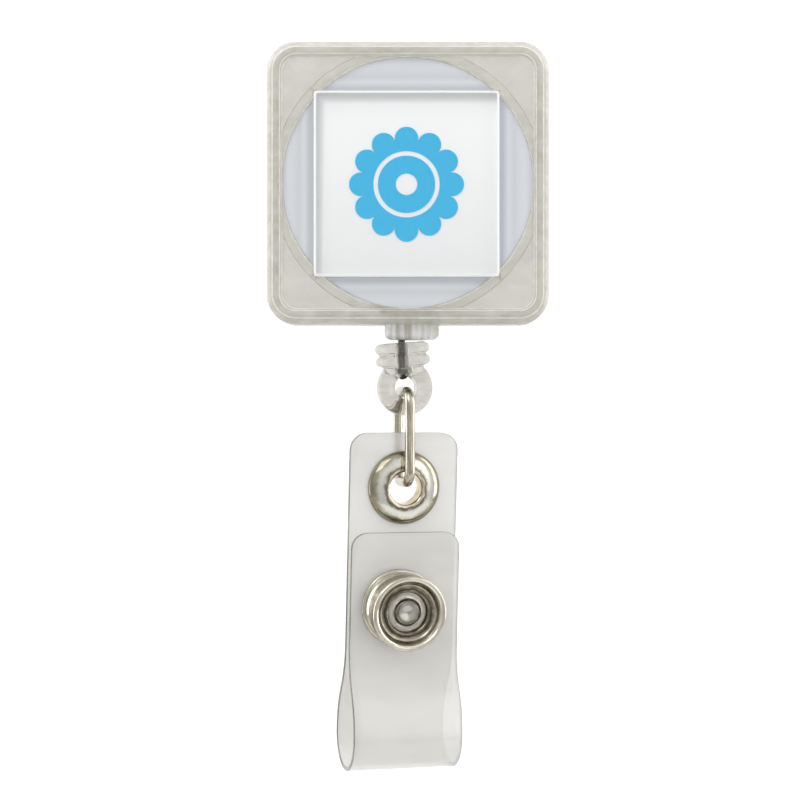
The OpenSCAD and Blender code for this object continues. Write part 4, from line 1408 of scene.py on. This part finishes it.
class REEL_OT_clip(bpy.types.Operator):
    """Stamps the bulldog clip and winds its spring"""

    bl_idname = "reel.clip"
    bl_label = "Bulldog clip"

    def ridges(self, name, count, start, step, body, radius):
        """A row of pressed ridges on sheet steel."""
        long = 6.5
        obj = run_tree(
            name, bpy.data.meshes.new(name), ridge_tree(), Count=count, Step=tuple(SCALE @ Vector(step)),
            Radius=radius * MM, Length=long * MM, Material=finish(plated_steel),
        )
        obj.data.transform(Matrix.Translation(FROM_CASE @ Vector(start)))
        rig.ride(obj, body)
        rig.slot(obj, "clip_steel")

    def execute(self, context):
        reel = in_mm(context.scene.reel_cord)
        for name, node, body, slot, maker, bevel in (
            ("clip_plate", "clip_base", "clip", "clip_steel", plated_steel, 0.14),
            ("clip_lever", "clip_jaw", "jaw", "clip_steel", plated_steel, 0.14),
            ("clip_axle", "clip_pin", "clip", "clip_steel", plated_steel, 0.1),
            ("rivet_turned", "swivel_rivet", "clip", "nickel", nickel_plate, 0.12),
            ("washer_moulded", "swivel_washer", "clip", "white_plastic", white_acetal, 0.05),
        ):
            place(finished_copy(name, node, bevel), body, slot, node, finish(maker))
        apart = 0.95
        lean = Vector((0, 2.0, 6.0)).normalized()
        self.ridges("lever_ridges", reel.ridges, (0, 11.55, 10.0), lean * apart, "jaw", 0.22)
        self.ridges("plate_ridges", reel.ridges, (0, 5.62, 9.9), (0, 0, apart), "clip", 0.16)

        pivot_y, pivot_z = (FROM_CASE.inverted() @ Vector(JOINTS["jaw_open"]["pos_m"])).yz
        half, coil_r, turns, steps = 1.9, 1.1, 4.5, 28
        count = int(turns * steps)
        points = [(-half, 6.0, 10.4), (-half, 6.15, 9.2), (-half, 6.55, 7.0)]
        for i in range(count + 1):
            a = 2 * math.pi * turns * i / count
            x = half * (2 * i / count - 1)
            points.append((x, pivot_y - coil_r * math.cos(a), pivot_z - coil_r * math.sin(a)))
        points += [(half, 9.75, 7.0), (half, 10.2, 9.0), (half, 10.75, 10.4)]
        made = finish(spring_steel)
        coil = wire("clip_coil", points, 0.24, made, FROM_CASE, 12)
        dress(coil, made)
        # One leg stays with the plate and the other follows the lever, so the coil twists along its axis
        ends = [FROM_CASE @ Vector((x, pivot_y, pivot_z)) for x in (0.3 - half, half - 0.3)]
        across_joint(coil, ("clip", "jaw"), "spring_steel", "clip_spring", *ends)
        return {"FINISHED"}


# ---------------------------------------------------------------- the studio


class REEL_OT_stage(bpy.types.Operator):
    """Sets the camera, the lights and the white paper"""

    bl_idname = "reel.stage"
    bl_label = "Studio"

    def paper(self):
        """A sheet of paper that hangs behind the reel and curves out on to the floor."""
        back, floor, bend = 0.35, -0.95, 0.25
        profile = [(back, 1.2)] + [(back, z) for z in np.linspace(0.8, floor + bend, 6)]
        profile += arc(back - bend, floor + bend, bend, 0, -90, 12)[1:] + [(-1.6, floor)]
        half = 2.0
        mesh = bpy.data.meshes.new("paper")
        vertices = [(s * half, y, z) for y, z in profile for s in (-1, 1)]
        faces = [(2 * i, 2 * i + 1, 2 * i + 3, 2 * i + 2) for i in range(len(profile) - 1)]
        mesh.from_pydata(vertices, [], faces)
        sheet = new_object("studio_sweep", mesh)
        for face in mesh.polygons:
            face.use_smooth = True
        mesh.materials.append(finish(studio_paper))
        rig.stage(sheet)

    def lamp(self, name, at, target, width, height, power):
        """A soft rectangular lamp that faces a target."""
        data = bpy.data.lights.new(name, "AREA")
        data.shape = "RECTANGLE"
        data.size, data.size_y, data.energy = width, height, power
        obj = new_object(name, data)
        obj.location = at
        obj.rotation_euler = (Vector(target) - Vector(at)).to_track_quat("-Z", "Y").to_euler()

    def execute(self, context):
        scene = context.scene
        middle = CASE_AT + Vector((-0.88, 0, -24.3)) * MM
        distance = 0.2525
        data = bpy.data.cameras.new("camera")
        data.lens, data.sensor_width = 100, 36
        data.clip_start, data.clip_end = 0.01, 10
        camera = new_object("camera", data)
        camera.location = middle + Vector((0, -distance, 0))
        camera.rotation_euler = (math.radians(90), 0, 0)
        scene.camera = camera
        self.paper()
        self.lamp("key", (-0.35, -0.55, 0.55), middle, 0.5, 0.5, 1.5)
        self.lamp("fill", (0.5, -0.5, 0.1), middle, 0.4, 0.6, 0.45)
        self.lamp("paper_left", (-0.5, 0.05, 0.1), (0, 0.35, 0), 0.3, 0.6, 1.6)
        self.lamp("paper_right", (0.5, 0.05, 0.1), (0, 0.35, 0), 0.3, 0.6, 1.6)
        world = bpy.data.worlds.new("studio")
        world.use_nodes = True
        tree = world.node_tree
        sky = tree.nodes["Background"]
        sky.inputs["Color"].default_value = colour("#FFFFFF")
        # A studio is brighter overhead than at the floor
        towards = add_node(tree, "ShaderNodeTexCoord").outputs["Generated"]
        height = add_node(tree, "ShaderNodeSeparateXYZ", {"Vector": towards}).outputs["Z"]
        strength = add_node(
            tree, "ShaderNodeMapRange", {"Value": height},
            From_Min=-1.0, From_Max=1.0, To_Min=0.32, To_Max=1.0,
        )
        tree.links.new(strength.outputs[0], sky.inputs["Strength"])
        scene.world = world
        scene.view_settings.view_transform = "Standard"
        return {"FINISHED"}


class REEL_PT_panel(bpy.types.Panel):
    """Lists the reel's pieces"""

    bl_label = "Badge Reel"
    bl_idname = "REEL_PT_panel"
    bl_space_type = "VIEW_3D"
    bl_region_type = "UI"
    bl_category = "Badge Reel"

    def draw(self, context):
        """Draws the settings and one button for each operator."""
        for settings in (context.scene.reel_case, context.scene.reel_strap, context.scene.reel_cord):
            box = self.layout.box()
            for name in settings.__annotations__:
                box.prop(settings, name)
        for operator in OPERATORS:
            self.layout.operator(operator.bl_idname)


OPERATORS = (
    REEL_OT_stage,
    REEL_OT_shells,
    REEL_OT_face,
    REEL_OT_spool,
    REEL_OT_cord,
    REEL_OT_stopper,
    REEL_OT_link,
    REEL_OT_strap,
    REEL_OT_hardware,
    REEL_OT_clip,
)
SETTINGS = {"reel_case": CaseSettings, "reel_strap": StrapSettings, "reel_cord": ReelSettings}


def register():
    """Registers the add-on's classes and its settings on the scene."""
    for made in (*SETTINGS.values(), *OPERATORS, REEL_PT_panel):
        bpy.utils.register_class(made)
    for name, made in SETTINGS.items():
        setattr(bpy.types.Scene, name, PointerProperty(type=made))


def unregister():
    """Undoes register."""
    for name in SETTINGS:
        delattr(bpy.types.Scene, name)
    for made in (REEL_PT_panel, *reversed(OPERATORS), *SETTINGS.values()):
        bpy.utils.unregister_class(made)


def main():
    """Builds every piece and writes down the sizes."""
    register()
    for operator in OPERATORS:
        group, name = operator.bl_idname.split(".")
        getattr(getattr(bpy.ops, group), name)()
    sizes = {"cad": [list(v) for v in CAD_BOX], "visual": [list(v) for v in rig.bounds()]}
    with open("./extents.json", "w") as file:
        json.dump(sizes, file)


if __name__ == "__main__":
    main()
